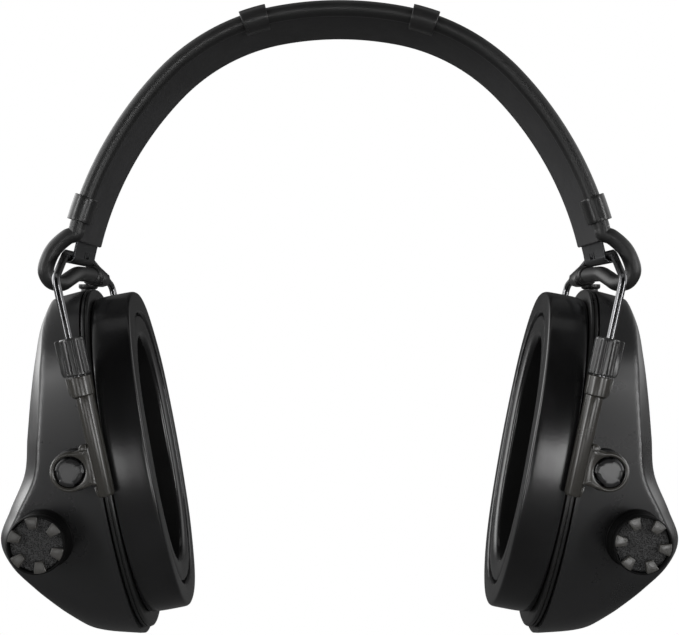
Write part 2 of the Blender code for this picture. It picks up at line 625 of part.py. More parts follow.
# ------------------------------------------------------------------ cable ends
def cable_ends(side, s):
    """The slack loop at the band's end, the keeper on the rear of the yoke and the lead into the cup."""
    x0, z0, _ = band_station(BAND_HALF - 4.0, BAND_MID)
    x1, z1, _ = band_station(BAND_HALF - 7.0, BAND_MID)
    end, before = P(x0, CABLE_Y, z0), P(x1, CABLE_Y, z1)
    along = (end - before).normalized()
    knots = [end + along * 2 * GAP, end + along * 2.0] + [P(x, y, z) for x, y, z in (
        (85.7, -18.0, 25.2), (89.3, -18.3, 21.9), (91.3, -18.6, 18.2), (92.2, -18.3, 14.4), (90.9, -16.6, 11.4),
        (88.7, -12.6, 10.9), (87.3, -8.0, 12.6), (86.4, -2.5, 14.2), (86.0, 4.0, 14.5), (85.7, 11.0, 14.5),
        (85.6, KEEPER_Y0 - GAP, 14.5))]
    points, faces = tube_along(smooth_path(knots, 2), CABLE_R, 7)
    points = [Vector((s * p.x, p.y, p.z)) for p in points]
    make("cable_loop_" + side, points, faces, CABLE_RUBBER, angle=60)
    low, high, y0, y1 = KEEPER_Z0, KEEPER_Z1, KEEPER_Y0, KEEPER_Y1
    keeper = make("cable_keeper_" + side, *block([P(s * x, y, z) for x, y, z in (
        (89.0, y0, low), (82.4, y0, low), (82.4, y0, high), (89.0, y0, high),
        (88.4, y1, low), (81.8, y1, low), (81.8, y1, high - 1.0), (88.4, y1, high - 1.0))]),
        CLIP_PLASTIC, origin=P(s * HINGE_X, 0, HINGE_Z))
    slope = [P(s * HINGE_X, HINGE_END_Y, HINGE_Z), P(s * SHOULDER[0], SHOULDER[1], SHOULDER[2])]
    path = [slope[0] + (slope[1] - slope[0]) * t for t in (-0.1, 1.0)]
    combine(keeper, *tube_along(path, WIRE_R + 0.35, 12), "DIFFERENCE", "keeper_slot_" + side)
    knots = [P(s * GLAND[0], GLAND[1], z) for z in (low - GAP, (low + GLAND_TOP) / 2, GLAND_TOP + GAP)]
    make("cable_lead_" + side, *tube_along(smooth_path(knots, 3), CABLE_R, 8), CABLE_RUBBER,
         origin=P(s * PIVOT_X, 0, PIVOT_Z), angle=60)


SIDES = (("left", 1), ("right", -1))

headband_cover()
headband_spring()
cable_on_band()
for side, s in SIDES:
    cable_clip("cable_clip_upper_" + side, s, CLIP_STATIONS[0])
    cable_clip("cable_clip_lower_" + side, s, CLIP_STATIONS[1])
    yoke_wire(side, s)
    for front in (True, False):
        arm(side, s, front)
    cup_shell(side, s)
    cup_fittings(side, s)
    cable_ends(side, s)
controls()
power()
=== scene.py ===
"""Looks of the electronic earmuff hearing protector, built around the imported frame."""

import math

import bmesh
import bpy
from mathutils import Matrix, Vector, noise
from mathutils.bvhtree import BVHTree


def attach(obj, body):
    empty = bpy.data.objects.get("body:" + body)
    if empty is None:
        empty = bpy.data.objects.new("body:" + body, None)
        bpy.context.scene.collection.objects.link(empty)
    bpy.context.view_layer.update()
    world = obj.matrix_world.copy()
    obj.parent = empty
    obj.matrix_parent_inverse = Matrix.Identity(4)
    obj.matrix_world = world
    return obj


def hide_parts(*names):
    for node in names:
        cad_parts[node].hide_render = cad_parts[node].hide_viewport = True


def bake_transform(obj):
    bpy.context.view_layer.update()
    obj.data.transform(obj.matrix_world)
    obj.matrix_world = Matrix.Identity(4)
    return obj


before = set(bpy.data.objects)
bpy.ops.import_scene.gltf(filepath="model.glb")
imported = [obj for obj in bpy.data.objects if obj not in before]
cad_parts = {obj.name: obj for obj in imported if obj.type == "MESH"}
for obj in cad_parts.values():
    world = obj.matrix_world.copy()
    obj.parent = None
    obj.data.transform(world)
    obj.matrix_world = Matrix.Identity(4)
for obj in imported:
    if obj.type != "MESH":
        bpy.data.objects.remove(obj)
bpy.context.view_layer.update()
MM = 0.001

# ------------------------------------------------------------------ dimensions (mm, degrees), as in the CAD source
DATUM_Z = 96.0
GAP = 0.3
BAND_RUN = ((20.0, 105.65), (40.0, 64.43), (59.0, 112.45))
BAND_HALF = sum(run for run, _ in BAND_RUN)
BAND_WIDTH, BAND_THICK, BAND_MID = 30.0, 3.0, 1.25
STRIP_WIDTH, STRIP_THICK = 27.5, 0.8
HINGE_X, HINGE_Z = 86.4, 19.6
ROLL_BORE, ROLL_OUTER = 1.45, 2.25
WIRE_R = 1.2
SHOULDER = (83.7, 39.0, 11.5)
HINGE_END_Y = 17.5
LEG_TILT, LEG_LENGTH = 12.4, 56.0
COLLAR_TOP, COLLAR_LENGTH = 18.2, 11.2
SOCKET_LENGTH = 6.0
TUBE_END = 65.8
TUBE_SIDE = -1.0  # the tube's middle lies inside the wire's line
PIVOT_X, PIVOT_Z = 79.2, -45.4
LUG_Y0, LUG_Y1 = 37.9, 40.9
LUG_R, LUG_HOLE_R, BOSS_R = 5.9, 4.7, 4.45
CUP_TILT, CUP_TOE = 10.4, 2.0
CUP_X, CUP_Z = 57.9, -42.6
FACE_N = 2.3
CUSHION_A, CUSHION_B, CUSHION_DEPTH = 52.2, 35.9, 12.5
OPENING_A, OPENING_B = 36.5, 21.5
PLATE_A, PLATE_B, PLATE_W0, PLATE_W1 = 55.8, 35.4, 12.8, 15.2
SHELL_A, SHELL_B, SHELL_W, SHELL_SHIFT = 56.8, 35.7, 15.6, -1.4
SHELL_WALL = 2.2
SHELL_LIP, SHELL_DRAFT, SHELL_TOP_DRAFT = 0.6, 4.0, 8.0
SHELL_CROWN, SHELL_CROWN_AT = 9.0, 31.0
STATIONS = ((-58, 15.2), (-50, 19.1), (-42, 26.0), (-34, 32.8), (-26, 38.4), (-18, 40.1), (-10, 35.7),
            (0, 29.4), (12, 26.2), (24, 23.0), (36, 19.3), (46, 15.5), (56, 9.1))
MIC_X, MIC_Z, MIC_R = 89.1, -66.8, 8.8
MIC_FACE_Y, MIC_SEAT_Y = 41.0, 37.6
CABLE_R, CABLE_Y = 2.5, -17.85
CLIP_STATIONS, CLIP_LENGTH = (26.5, 109.0), 8.0
GLAND, GLAND_TOP = (88.0, 20.5), 6.4
KEEPER_Y0, KEEPER_Y1 = 18.6, 26.5
SIDES = (("left", 1), ("right", -1))

scene = bpy.context.scene


# ------------------------------------------------------------------ materials
class Look:
    """A node material under construction, with its object coordinates ready."""

    def __init__(self, name, rough, metallic=0.0, specular=0.5, coat=0.0, coat_rough=0.1, sheen=0.0):
        self.mat = bpy.data.materials.new(name)
        self.mat.use_nodes = True
        self.tree = self.mat.node_tree
        self.shader = self.tree.nodes["Principled BSDF"]
        self.shader.inputs["Metallic"].default_value = metallic
        self.shader.inputs["Specular IOR Level"].default_value = specular
        self.shader.inputs["Coat Weight"].default_value = coat
        self.shader.inputs["Coat Roughness"].default_value = coat_rough
        self.shader.inputs["Sheen Weight"].default_value = sheen
        self.shader.inputs["Roughness"].default_value = rough
        self.coords = self.tree.nodes.new("ShaderNodeTexCoord").outputs["Object"]

    def node(self, kind, **values):
        n = self.tree.nodes.new(kind)
        for key, value in values.items():
            if key in n.inputs:
                n.inputs[key].default_value = value
            else:
                setattr(n, key, value)
        return n

    def link(self, a, b):
        self.tree.links.new(a, b)

    def noise(self, scale, detail=3.0, rough=0.5, stretch=None):
        n = self.node("ShaderNodeTexNoise", Scale=scale, Detail=detail, Roughness=rough)
        if stretch:
            m = self.node("ShaderNodeMapping", Scale=stretch)
            self.link(self.coords, m.inputs["Vector"])
            self.link(m.outputs["Vector"], n.inputs["Vector"])
        else:
            self.link(self.coords, n.inputs["Vector"])
        return n.outputs["Fac"]

    def voronoi(self, scale, feature="F1"):
        n = self.node("ShaderNodeTexVoronoi", Scale=scale)
        n.feature = feature
        self.link(self.coords, n.inputs["Vector"])
        return n.outputs["Distance"]

    def ramp(self, source, stops, target):
        r = self.tree.nodes.new("ShaderNodeValToRGB")
        r.color_ramp.elements[0].position, r.color_ramp.elements[1].position = stops[0][0], stops[-1][0]
        for k, (place, colour) in enumerate(stops):
            e = r.color_ramp.elements[0] if k == 0 else (
                r.color_ramp.elements[-1] if k == len(stops) - 1 else r.color_ramp.elements.new(place))
            e.color = (*colour, 1.0)
        self.link(source, r.inputs["Fac"])
        self.link(r.outputs["Color"], target)
        return r

    def spread(self, source, low, high, target=None, at=(0.3, 0.7)):
        n = self.node("ShaderNodeMapRange")
        n.inputs["From Min"].default_value, n.inputs["From Max"].default_value = at
        n.inputs["To Min"].default_value, n.inputs["To Max"].default_value = low, high
        self.link(source, n.inputs["Value"])
        if target:
            self.link(n.outputs["Result"], target)
        return n.outputs["Result"]

    def add(self, a, b, kind="ADD"):
        n = self.node("ShaderNodeMath")
        n.operation = kind
        for i, x in enumerate((a, b)):
            if isinstance(x, (int, float)):
                n.inputs[i].default_value = x
            else:
                self.link(x, n.inputs[i])
        return n.outputs["Value"]

    def bump(self, height, distance, strength=1.0):
        n = self.node("ShaderNodeBump", Strength=strength, Distance=distance)
        self.link(height, n.inputs["Height"])
        self.link(n.outputs["Normal"], self.shader.inputs["Normal"])


def tones(colour, low, high):
    return tuple(c * low for c in colour), tuple(c * high for c in colour)


def moulded(name, colour, rough, grain=2300.0, depth=0.000012, vary=0.06, specular=0.5, coat=0.0, streak=None, mottling=0.2):
    """Injection-moulded plastic: fine spark-eroded grain, faint flow marks and handling marks in the gloss."""
    k = Look(name, rough, specular=specular, coat=coat, coat_rough=0.25)
    low, high = tones(colour, 1 - mottling, 1 + mottling)
    mottle = k.noise(85.0, 5.0, 0.6, streak)
    k.ramp(mottle, ((0.32, low), (0.5, colour), (0.7, high)), k.shader.inputs["Base Color"])
    k.spread(k.noise(55.0, 6.0, 0.65), rough - vary, rough + vary, k.shader.inputs["Roughness"])
    fine = k.noise(grain, 2.0, 0.5)
    wave = k.noise(130.0, 2.0, 0.4)
    k.bump(k.add(fine, k.add(wave, 0.5, "MULTIPLY")), depth)
    return k.mat


COVER = moulded("band_cover_plastic", (0.020, 0.020, 0.021), 0.46, 1500.0, 0.00003, 0.05)
CABLE = moulded("cable_jacket", (0.013, 0.013, 0.013), 0.42, 1900.0, 0.00002, 0.06)
KEEPER = moulded("keeper_plastic", (0.009, 0.009, 0.009), 0.34, 1900.0, 0.000004, 0.04)
CLIP = moulded("clip_plastic", (0.017, 0.017, 0.017), 0.30, 2300.0, 0.00001, 0.05)
ARM = moulded("arm_plastic", (0.034, 0.032, 0.028), 0.26, 1800.0, 0.000002, 0.025, specular=0.62, mottling=0.1)
COLLAR = moulded("collar_plastic", (0.024, 0.024, 0.024), 0.24, 1800.0, 0.000002, 0.025, specular=0.6, mottling=0.1)
SHELL = moulded("shell_plastic", (0.0165, 0.0165, 0.017), 0.28, 900.0, 0.0000004, 0.012, mottling=0.06)
PLATE = moulded("plate_plastic", (0.012, 0.012, 0.012), 0.30, 2300.0, 0.00001, 0.05)
GUARD = moulded("guard_plastic", (0.050, 0.048, 0.044), 0.30, 2000.0, 0.000004, 0.04, specular=0.65)
BUTTON = moulded("button_rubber", (0.022, 0.022, 0.022), 0.58, 2600.0, 0.00003, 0.05)
TRAY = moulded("tray_plastic", (0.030, 0.030, 0.030), 0.50, 2300.0, 0.00002, 0.05)


def vinyl():
    k = Look("cushion_skin", 0.2, specular=0.45, coat=0.1, coat_rough=0.12)
    base = (0.0085, 0.0085, 0.0088)
    low, high = tones(base, 0.7, 1.4)
    k.ramp(k.noise(40.0, 4.0), ((0.35, low), (0.5, base), (0.68, high)), k.shader.inputs["Base Color"])
    k.spread(k.noise(38.0, 5.0, 0.6), 0.17, 0.26, k.shader.inputs["Roughness"])
    pebble = k.voronoi(950.0, "SMOOTH_F1")
    wave = k.noise(45.0, 2.0, 0.45)
    k.bump(k.add(k.add(pebble, 0.12, "MULTIPLY"), k.add(wave, 1.6, "MULTIPLY")), 0.00006)
    return k.mat


def foam(name, cells, tone, depth):
    """Open-cell foam: each cell's pore is painted dark as the shade inside it, between lighter struts; the same cells
    give the bump.
    """
    k = Look(name, 0.95, specular=0.08, sheen=0.0)
    pores_and_shade = k.voronoi(cells)
    low, high = tones((tone, tone, tone * 1.01), 0.12, 1.6)
    # painted shade: cell centres darken to 0.12 of the tone, the struts lighten
    k.ramp(pores_and_shade, ((0.12, low), (0.42, (tone, tone, tone)), (0.75, high)), k.shader.inputs["Base Color"])
    k.spread(k.noise(cells * 0.6, 3.0), 0.85, 1.0, k.shader.inputs["Roughness"])
    k.bump(k.add(pores_and_shade, k.add(k.noise(cells * 1.7, 2.0), 0.4, "MULTIPLY")), depth)
    return k.mat


def metal(name, colour, rough, streak, depth=0.000004, vary=0.06):
    """Drawn or rolled steel with fine lines along the working direction and a little blueing."""
    k = Look(name, rough, metallic=1.0)
    low, high = tones(colour, 0.7, 1.25)
    k.ramp(k.noise(120.0, 6.0, 0.6, streak), ((0.3, low), (0.52, colour), (0.75, high)), k.shader.inputs["Base Color"])
    lines = k.noise(900.0, 4.0, 0.7, streak)
    k.spread(lines, rough - vary, rough + vary, k.shader.inputs["Roughness"])
    k.bump(lines, depth)
    return k.mat


VINYL = vinyl()
# Very dark matte lining for the opening's inner wall: partly its own dark fabric, partly painted shade of the deep
# opening.
LINING_PAINTED_SHADE = moulded("cushion_lining_painted_shade", (0.0045, 0.0045, 0.0045), 0.75, 1500.0, 0.00004, 0.08, specular=0.15)
# Near-black pod plastic: its own dark colour, made darker than the shell as painted shade on the pod's side wall and
# round the mic guard's teeth.
POD_PAINTED_SHADE = moulded("pod_plastic_painted_shade", (0.003, 0.003, 0.003), 0.6, 1500.0, 0.00003, 0.06, specular=0.12)
# The ear pad's foam: its own black colour, darkened further as painted shade in the cushion's deep opening.
EAR_FOAM_PAINTED_SHADE = foam("ear_foam", 900.0, 0.007, 0.00025)
MIC_FOAM = foam("mic_foam", 2100.0, 0.042, 0.0002)
STEEL = metal("spring_steel", (0.075, 0.077, 0.080), 0.42, (1.0, 0.12, 1.0))
WIRE = metal("wire_steel", (0.17, 0.17, 0.175), 0.20, (1.0, 1.0, 0.1))
TIN = metal("tinned_metal", (0.55, 0.54, 0.52), 0.30, (1.0, 0.3, 1.0))


def board():
    k = Look("board", 0.38, specular=0.5, coat=0.3)
    tracks = k.node("ShaderNodeTexBrick", Scale=260.0)
    k.link(k.coords, tracks.inputs["Vector"])
    tracks.inputs["Color1"].default_value = (0.010, 0.075, 0.030, 1)
    tracks.inputs["Color2"].default_value = (0.014, 0.105, 0.042, 1)
    tracks.inputs["Mortar"].default_value = (0.35, 0.22, 0.06, 1)
    tracks.inputs["Mortar Size"].default_value = 0.03
    k.link(tracks.outputs["Color"], k.shader.inputs["Base Color"])
    k.spread(k.noise(300.0), 0.32, 0.5, k.shader.inputs["Roughness"])
    k.bump(tracks.outputs["Fac"], 0.00003)
    return k.mat


def battery():
    k = Look("battery_case", 0.3, metallic=0.65)
    split = k.node("ShaderNodeSeparateXYZ")
    k.link(k.coords, split.inputs["Vector"])
    k.ramp(k.spread(split.outputs["Z"], 0.0, 1.0, at=(-0.172, -0.125)),
           ((0.0, (0.045, 0.047, 0.05)), (0.66, (0.05, 0.052, 0.056)), (0.68, (0.33, 0.23, 0.12)), (1.0, (0.36, 0.25, 0.13))),
           k.shader.inputs["Base Color"])
    k.spread(k.noise(240.0, 4.0), 0.24, 0.38, k.shader.inputs["Roughness"])
    k.bump(k.noise(700.0), 0.00001)
    return k.mat


BOARD, BATTERY = board(), battery()


# ------------------------------------------------------------------ drawing helpers
def P(x, y, z):
    return Vector((x, y, z - DATUM_Z))


def cup_point(s, u, v, w):
    t, q = math.radians(CUP_TILT), math.radians(CUP_TOE)
    eu = Vector((math.sin(t), 0.0, math.cos(t)))
    ev = Vector((math.sin(q) * math.cos(t), math.cos(q), -math.sin(q) * math.sin(t)))
    ew = ev.cross(eu)
    p = Vector((CUP_X, 0.0, CUP_Z)) + u * eu + v * ev + w * ew
    return P(s * p.x, p.y, p.z)


def leg_point(s, front, q, side=0.0, out=0.0):
    t = math.radians(LEG_TILT)
    x = SHOULDER[0] - q * math.sin(t) + side * math.cos(t)
    z = SHOULDER[2] - q * math.cos(t) - side * math.sin(t)
    y = SHOULDER[1] + out
    return P(s * x, -y if front else y, z)


def applied(obj):
    """The object with its modifiers made real."""
    mesh = bpy.data.meshes.new_from_object(obj.evaluated_get(bpy.context.evaluated_depsgraph_get()))
    old = obj.data
    obj.modifiers.clear()
    obj.data = mesh
    bpy.data.meshes.remove(old)
    return obj


def shade(obj, angle):
    obj.data.shade_smooth()
    obj.data.set_sharp_from_angle(angle=math.radians(angle))


def make(name, solid, material, angle=35.0, bevel=0.0, segments=2, limit=32.0):
    points, faces = solid
    mesh = bpy.data.meshes.new(name)
    mesh.from_pydata([p * MM for p in points], [], faces)
    bm = bmesh.new()
    bm.from_mesh(mesh)
    bmesh.ops.remove_doubles(bm, verts=bm.verts, dist=1e-6)
    bmesh.ops.recalc_face_normals(bm, faces=bm.faces)
    bm.to_mesh(mesh)
    bm.free()
    mesh.materials.append(material)
    obj = bpy.data.objects.new(name, mesh)
    scene.collection.objects.link(obj)
    if bevel:
        mod = obj.modifiers.new("edge", "BEVEL")
        mod.width, mod.segments = bevel * MM, segments
        mod.limit_method, mod.angle_limit = "ANGLE", math.radians(limit)
        bpy.context.view_layer.update()
        applied(obj)
    shade(obj, angle)
    return obj


def merge(*solids):
    points, faces = [], []
    for more, their in solids:
        base = len(points)
        points += more
        faces += [tuple(base + i for i in f) for f in their]
    return points, faces


def join(target, *others):
    """Other objects' meshes added to the target's as separate shells, each with its own material."""
    slots = list(target.data.materials)
    bm = bmesh.new()
    bm.from_mesh(target.data)
    for o in others:
        first = len(bm.faces)
        bm.from_mesh(o.data)
        bm.faces.ensure_lookup_table()
        for f in bm.faces[first:]:
            own = o.data.materials[f.material_index]
            if own not in slots:
                slots.append(own)
                target.data.materials.append(own)
            f.material_index = slots.index(own)
        mesh = o.data
        bpy.data.objects.remove(o)
        bpy.data.meshes.remove(mesh)
    bm.to_mesh(target.data)
    bm.free()
    return target


def cut(obj, *solids, own=False):
    helper = make(obj.name + "_cutter", merge(*solids), obj.data.materials[0])
    mod = obj.modifiers.new("cut", "BOOLEAN")
    mod.operation, mod.object, mod.solver = "DIFFERENCE", helper, "EXACT"
    mod.use_self = own
    bpy.context.view_layer.update()
    applied(obj)
    mesh = helper.data
    bpy.data.objects.remove(helper)
    bpy.data.meshes.remove(mesh)


def skin(rings, closed_path=False, caps=True):
    n, count = len(rings[0]), len(rings)
    points = [p for ring in rings for p in ring]
    faces = []
    for i in range(count if closed_path else count - 1):
        a, b = i * n, (i + 1) % count * n
        for j in range(n):
            k = (j + 1) % n
            faces.append((a + j, a + k, b + k, b + j))
    if caps and not closed_path:
        faces.append(tuple(range(n)))
        faces.append(tuple((count - 1) * n + j for j in reversed(range(n))))
    return points, faces


def frame_on(axis):
    axis = axis.normalized()
    helper = Vector((0, 0, 1)) if abs(axis.z) < 0.9 else Vector((1, 0, 0))
    e1 = axis.cross(helper).normalized()
    return e1, axis.cross(e1).normalized()


def turned(centre, axis, profile, segments=64, closed=False):
    axis = axis.normalized()
    e1, e2 = frame_on(axis)
    rings = [[centre + axis * d + (e1 * math.cos(a) + e2 * math.sin(a)) * r
              for a in (2 * math.pi * i / segments for i in range(segments))] for r, d in profile]
    return skin(rings, closed_path=closed)


def tube_along(path, radius, segments=24):
    rings, e1 = [], None
    for i, p in enumerate(path):
        t = (path[min(i + 1, len(path) - 1)] - path[max(i - 1, 0)]).normalized()
        if e1 is None:
            e1, _ = frame_on(t)
        e1 = (e1 - t * e1.dot(t)).normalized()
        e2 = t.cross(e1)
        r = radius[i] if isinstance(radius, (list, tuple)) else radius
        rings.append([p + (e1 * math.cos(a) + e2 * math.sin(a)) * r
                      for a in (2 * math.pi * k / segments for k in range(segments))])
    return skin(rings)


def rounded_path(corners, radius, steps=12):
    out = [corners[0]]
    for a, b, c in zip(corners, corners[1:], corners[2:]):
        d0, d1 = (a - b).normalized(), (c - b).normalized()
        half = math.acos(max(-1, min(1, d0.dot(d1)))) / 2
        reach = min(radius / math.tan(half), (a - b).length * 0.48, (c - b).length * 0.48)
        p0, p1 = b + d0 * reach, b + d1 * reach
        for k in range(steps + 1):
            t = k / steps
            out.append(p0 * (1 - t) ** 2 + b * 2 * t * (1 - t) + p1 * t ** 2)
    out.append(corners[-1])
    return out


def smooth_path(knots, per_span):
    pts = [knots[0] * 2 - knots[1]] + list(knots) + [knots[-1] * 2 - knots[-2]]
    out = []
    for a, b, c, d in zip(pts, pts[1:], pts[2:], pts[3:]):
        for k in range(per_span):
            t = k / per_span
            out.append(0.5 * (2 * b + (c - a) * t + (2 * a - 5 * b + 4 * c - d) * t * t
                              + (3 * b - a - 3 * c + d) * t ** 3))
    out.append(knots[-1])
    return out


def oval(a, b, count, shift=0.0):
    out = []
    for i in range(count):
        t = 2 * math.pi * (i + 0.5) / count
        c, s = math.cos(t), math.sin(t)
        out.append((shift + a * math.copysign(abs(c) ** (2 / FACE_N), c),
                    b * math.copysign(abs(s) ** (2 / FACE_N), s)))
    return out


def prism(outline, low, high, place):
    """An extruded outline: place(a, b, h) gives the point."""
    n = len(outline)
    points = [place(a, b, low) for a, b in outline] + [place(a, b, high) for a, b in outline]
    faces = [tuple(range(n)), tuple(n + j for j in reversed(range(n)))]
    faces += [(i, (i + 1) % n, n + (i + 1) % n, n + i) for i in range(n)]
    return points, faces


def spread(low, high, count):
    return [low + (high - low) * i / count for i in range(count + 1)]


def eased(low, high, x):
    t = max(0.0, min(1.0, (x - low) / (high - low)))
    return t * t * (3 - 2 * t)


def shown(obj, body, slot, *nodes):
    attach(obj, body)
    if nodes:
        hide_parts(*nodes)
    return obj


# ------------------------------------------------------------------ headband
def band_station(distance, offset):
    x, z, angle, left = 0.0, DATUM_Z, 0.0, abs(distance)
    for run, radius in BAND_RUN:
        step = min(left, run)
        centre_x, centre_z = x - radius * math.sin(angle), z - radius * math.cos(angle)
        angle += step / radius
        x, z = centre_x + radius * math.sin(angle), centre_z + radius * math.cos(angle)
        left -= step
    x, z = x + left * math.cos(angle), z - left * math.sin(angle)
    x, z = x + offset * math.sin(angle), z + offset * math.cos(angle)
    return (x if distance >= 0 else -x), z, angle


def rounded_box(y0, y1, o0, o1, r, steps=5):
    out = []
    for cy, co, start in ((y1 - r, o1 - r, 0), (y0 + r, o1 - r, 90), (y0 + r, o0 + r, 180), (y1 - r, o0 + r, 270)):
        for k in range(steps + 1):
            a = math.radians(start + 90 * k / steps)
            out.append((cy + r * math.cos(a), co + r * math.sin(a)))
    return out


def band_ring(section, distance):
    ring = []
    for y, o in section:
        x, z, _ = band_station(distance, o)
        ring.append(P(x, y, z))
    return ring


def headband():
    w, t = BAND_WIDTH / 2, BAND_THICK / 2
    full = rounded_box(-w, w, BAND_MID - t, BAND_MID + t, 1.05)
    worn = rounded_box(-w + 0.35, w - 0.35, BAND_MID - t + 0.35, BAND_MID + t - 0.35, 0.75)
    slot = rounded_box(-STRIP_WIDTH / 2 - 0.15, STRIP_WIDTH / 2 + 0.15, BAND_MID - 0.55, BAND_MID + 0.55, 0.2)
    rings = [band_ring(slot, -BAND_HALF + 5.0), band_ring(slot, -BAND_HALF), band_ring(worn, -BAND_HALF)]
    for d in [-BAND_HALF + 0.35] + spread(-BAND_HALF + 2.0, BAND_HALF - 2.0, 240) + [BAND_HALF - 0.35]:
        rings.append(band_ring(full, d))
    rings += [band_ring(worn, BAND_HALF), band_ring(slot, BAND_HALF), band_ring(slot, BAND_HALF - 5.0)]
    shown(make("headband_cover_skin", skin(rings), COVER, 40), "headband", "cover_plastic", "headband_cover")

    # sprung steel strip with its rolled ends
    mid_r = (ROLL_BORE + ROLL_OUTER) / 2
    tail = [Vector(band_station(BAND_HALF + d, BAND_MID)[:2]) for d in (-9.0, -6.0, -3.0, 0.0, 1.4, 2.6)]
    roll = [Vector((HINGE_X + mid_r * math.cos(a), HINGE_Z + mid_r * math.sin(a)))
            for a in (math.radians(176.0 + 254.0 * k / 40) for k in range(41))]
    line = smooth_path([Vector((p.x, p.y, 0)) for p in tail + [roll[0], roll[1]]], 5)[:-1] + [Vector((p.x, p.y, 0)) for p in roll[1:]]
    solids = []
    for s in (1, -1):
        rings = []
        for i, p in enumerate(line):
            t = (line[min(i + 1, len(line) - 1)] - line[max(i - 1, 0)]).normalized()
            n = Vector((-t.y, t.x, 0))
            rings.append([P(s * (p.x + n.x * o), y, p.y + n.y * o)
                          for y, o in rounded_box(-STRIP_WIDTH / 2, STRIP_WIDTH / 2, -STRIP_THICK / 2, STRIP_THICK / 2, 0.3, 3)])
        solids.append(skin(rings))
    strip = make("headband_spring_ends", merge(*solids), STEEL, 40)
    # the lanced stop tongue near each rolled end
    cutters = []
    for s in (1, -1):
        for outline in (((-1.7, 19.3), (-0.8, 19.3), (-0.8, 21.4), (-1.7, 21.4)),
                        ((0.9, 21.4), (0.9, 19.3), (4.7, 19.3), (4.7, 21.4), (3.8, 21.4), (3.8, 20.1), (1.8, 20.1), (1.8, 21.4))):
            cutters.append(prism(outline, 82.0, 85.25, lambda a, b, h, s=s: P(s * h, a, b)))
    cut(strip, *cutters, own=True)
    shade(strip, 40)
    shown(strip, "headband", "spring_steel", "headband_spring")

    # interconnect cable along the front edge
    path = [P(band_station(d, BAND_MID)[0], CABLE_Y, band_station(d, BAND_MID)[1])
            for d in spread(-BAND_HALF + 4.0, BAND_HALF - 4.0, 260)]
    shown(make("cable_along_band", tube_along(path, CABLE_R, 28), CABLE, 60), "headband", "cable_jacket", "cable_over_band")

    # cable clips
    for level, station in (("upper", CLIP_STATIONS[0]), ("lower", CLIP_STATIONS[1])):
        for side, s in SIDES:
            inner, wall, grip, reach = CABLE_R + 0.12, 1.15, BAND_THICK / 2 + 0.2, 4.2
            tip = -BAND_WIDTH / 2 + reach
            section = []
            for k in range(25):
                a = math.radians(70 + 220 * k / 24)
                section.append((CABLE_Y + (inner + wall) * math.cos(a), (inner + wall) * math.sin(a)))
            section += [(CABLE_Y + 3.4, -(grip + 1.45)), (CABLE_Y + 4.6, -(grip + 1.0)), (tip - 0.4, -(grip + 0.8)), (tip, -(grip + 0.45)), (tip, -grip),
                        (-BAND_WIDTH / 2 - 0.15, -grip)]
            for k in range(19):
                a = math.radians(-42 - 276 * k / 18)
                section.append((CABLE_Y + inner * math.cos(a), inner * math.sin(a)))
            section += [(-BAND_WIDTH / 2 - 0.15, grip), (tip, grip), (tip, grip + 0.45), (tip - 0.4, grip + 0.8), (CABLE_Y + 4.6, grip + 1.0), (CABLE_Y + 3.4, grip + 1.45)]
            rings = []
            for d in spread(station - CLIP_LENGTH / 2, station + CLIP_LENGTH / 2, 8):
                rings.append([P(s * band_station(d, BAND_MID + o)[0], y, band_station(d, BAND_MID + o)[1]) for y, o in section])
            clip = make("cable_clip_%s_%s_fine" % (level, side), skin(rings), CLIP, 38, bevel=0.22, segments=3, limit=50)
            shown(clip, "headband", "clip_plastic", "cable_clip_%s_%s" % (level, side))


# ------------------------------------------------------------------ yokes and arms
def yoke(side, s):
    t = math.radians(LEG_TILT)
    foot = (SHOULDER[0] - LEG_LENGTH * math.sin(t), SHOULDER[2] - LEG_LENGTH * math.cos(t))
    corners = [P(s * foot[0], -SHOULDER[1], foot[1]), P(s * SHOULDER[0], -SHOULDER[1], SHOULDER[2]),
               P(s * HINGE_X, -HINGE_END_Y, HINGE_Z), P(s * HINGE_X, HINGE_END_Y, HINGE_Z),
               P(s * SHOULDER[0], SHOULDER[1], SHOULDER[2]), P(s * foot[0], SHOULDER[1], foot[1])]
    path = rounded_path(corners, 3.4, 14)
    shown(make("yoke_wire_%s_fine" % side, tube_along(path, WIRE_R, 28), WIRE, 60), "yoke_" + side, "wire_steel", "yoke_wire_" + side)

    # keeper: a moulded flag on the wire's rear slope that holds the cable
    outline = ((89.2, 12.2), (88.9, 17.2), (88.2, 18.7), (86.9, 19.7), (85.6, 19.2), (82.3, 14.9), (82.0, 13.2), (82.7, 11.4), (84.6, 10.8), (87.6, 10.8))
    def place(a, b, h):
        k = (h - KEEPER_Y0) / (KEEPER_Y1 - KEEPER_Y0)
        return P(s * (a - 0.6 * k), h, b - (1.3 * k if b > 15 else 0.0))
    flag = make("cable_keeper_%s_fine" % side, prism(outline, KEEPER_Y0, KEEPER_Y1, place), KEEPER, 40, bevel=0.6, segments=3, limit=60)
    boot = make("boot", turned(P(s * 85.6, 14.6, 14.5), Vector((0, 1, 0)), ((CABLE_R + 0.1, 0), (CABLE_R + 0.55, 0.25), (CABLE_R + 0.7, 1.2),
                (CABLE_R + 0.45, 1.5), (CABLE_R + 0.45, 1.9), (CABLE_R + 0.8, 2.2), (CABLE_R + 0.95, 4.4)), 32), KEEPER, 40)
    drop = make("drop", turned(P(s * GLAND[0], GLAND[1], 11.6), Vector((0, 0, -1)), ((3.3, 0), (3.3, 1.0), (3.05, 1.5), (2.6, 1.7)), 32), KEEPER, 40)
    join(flag, boot, drop)
    shown(flag, "yoke_" + side, "clip_plastic", "cable_keeper_" + side)


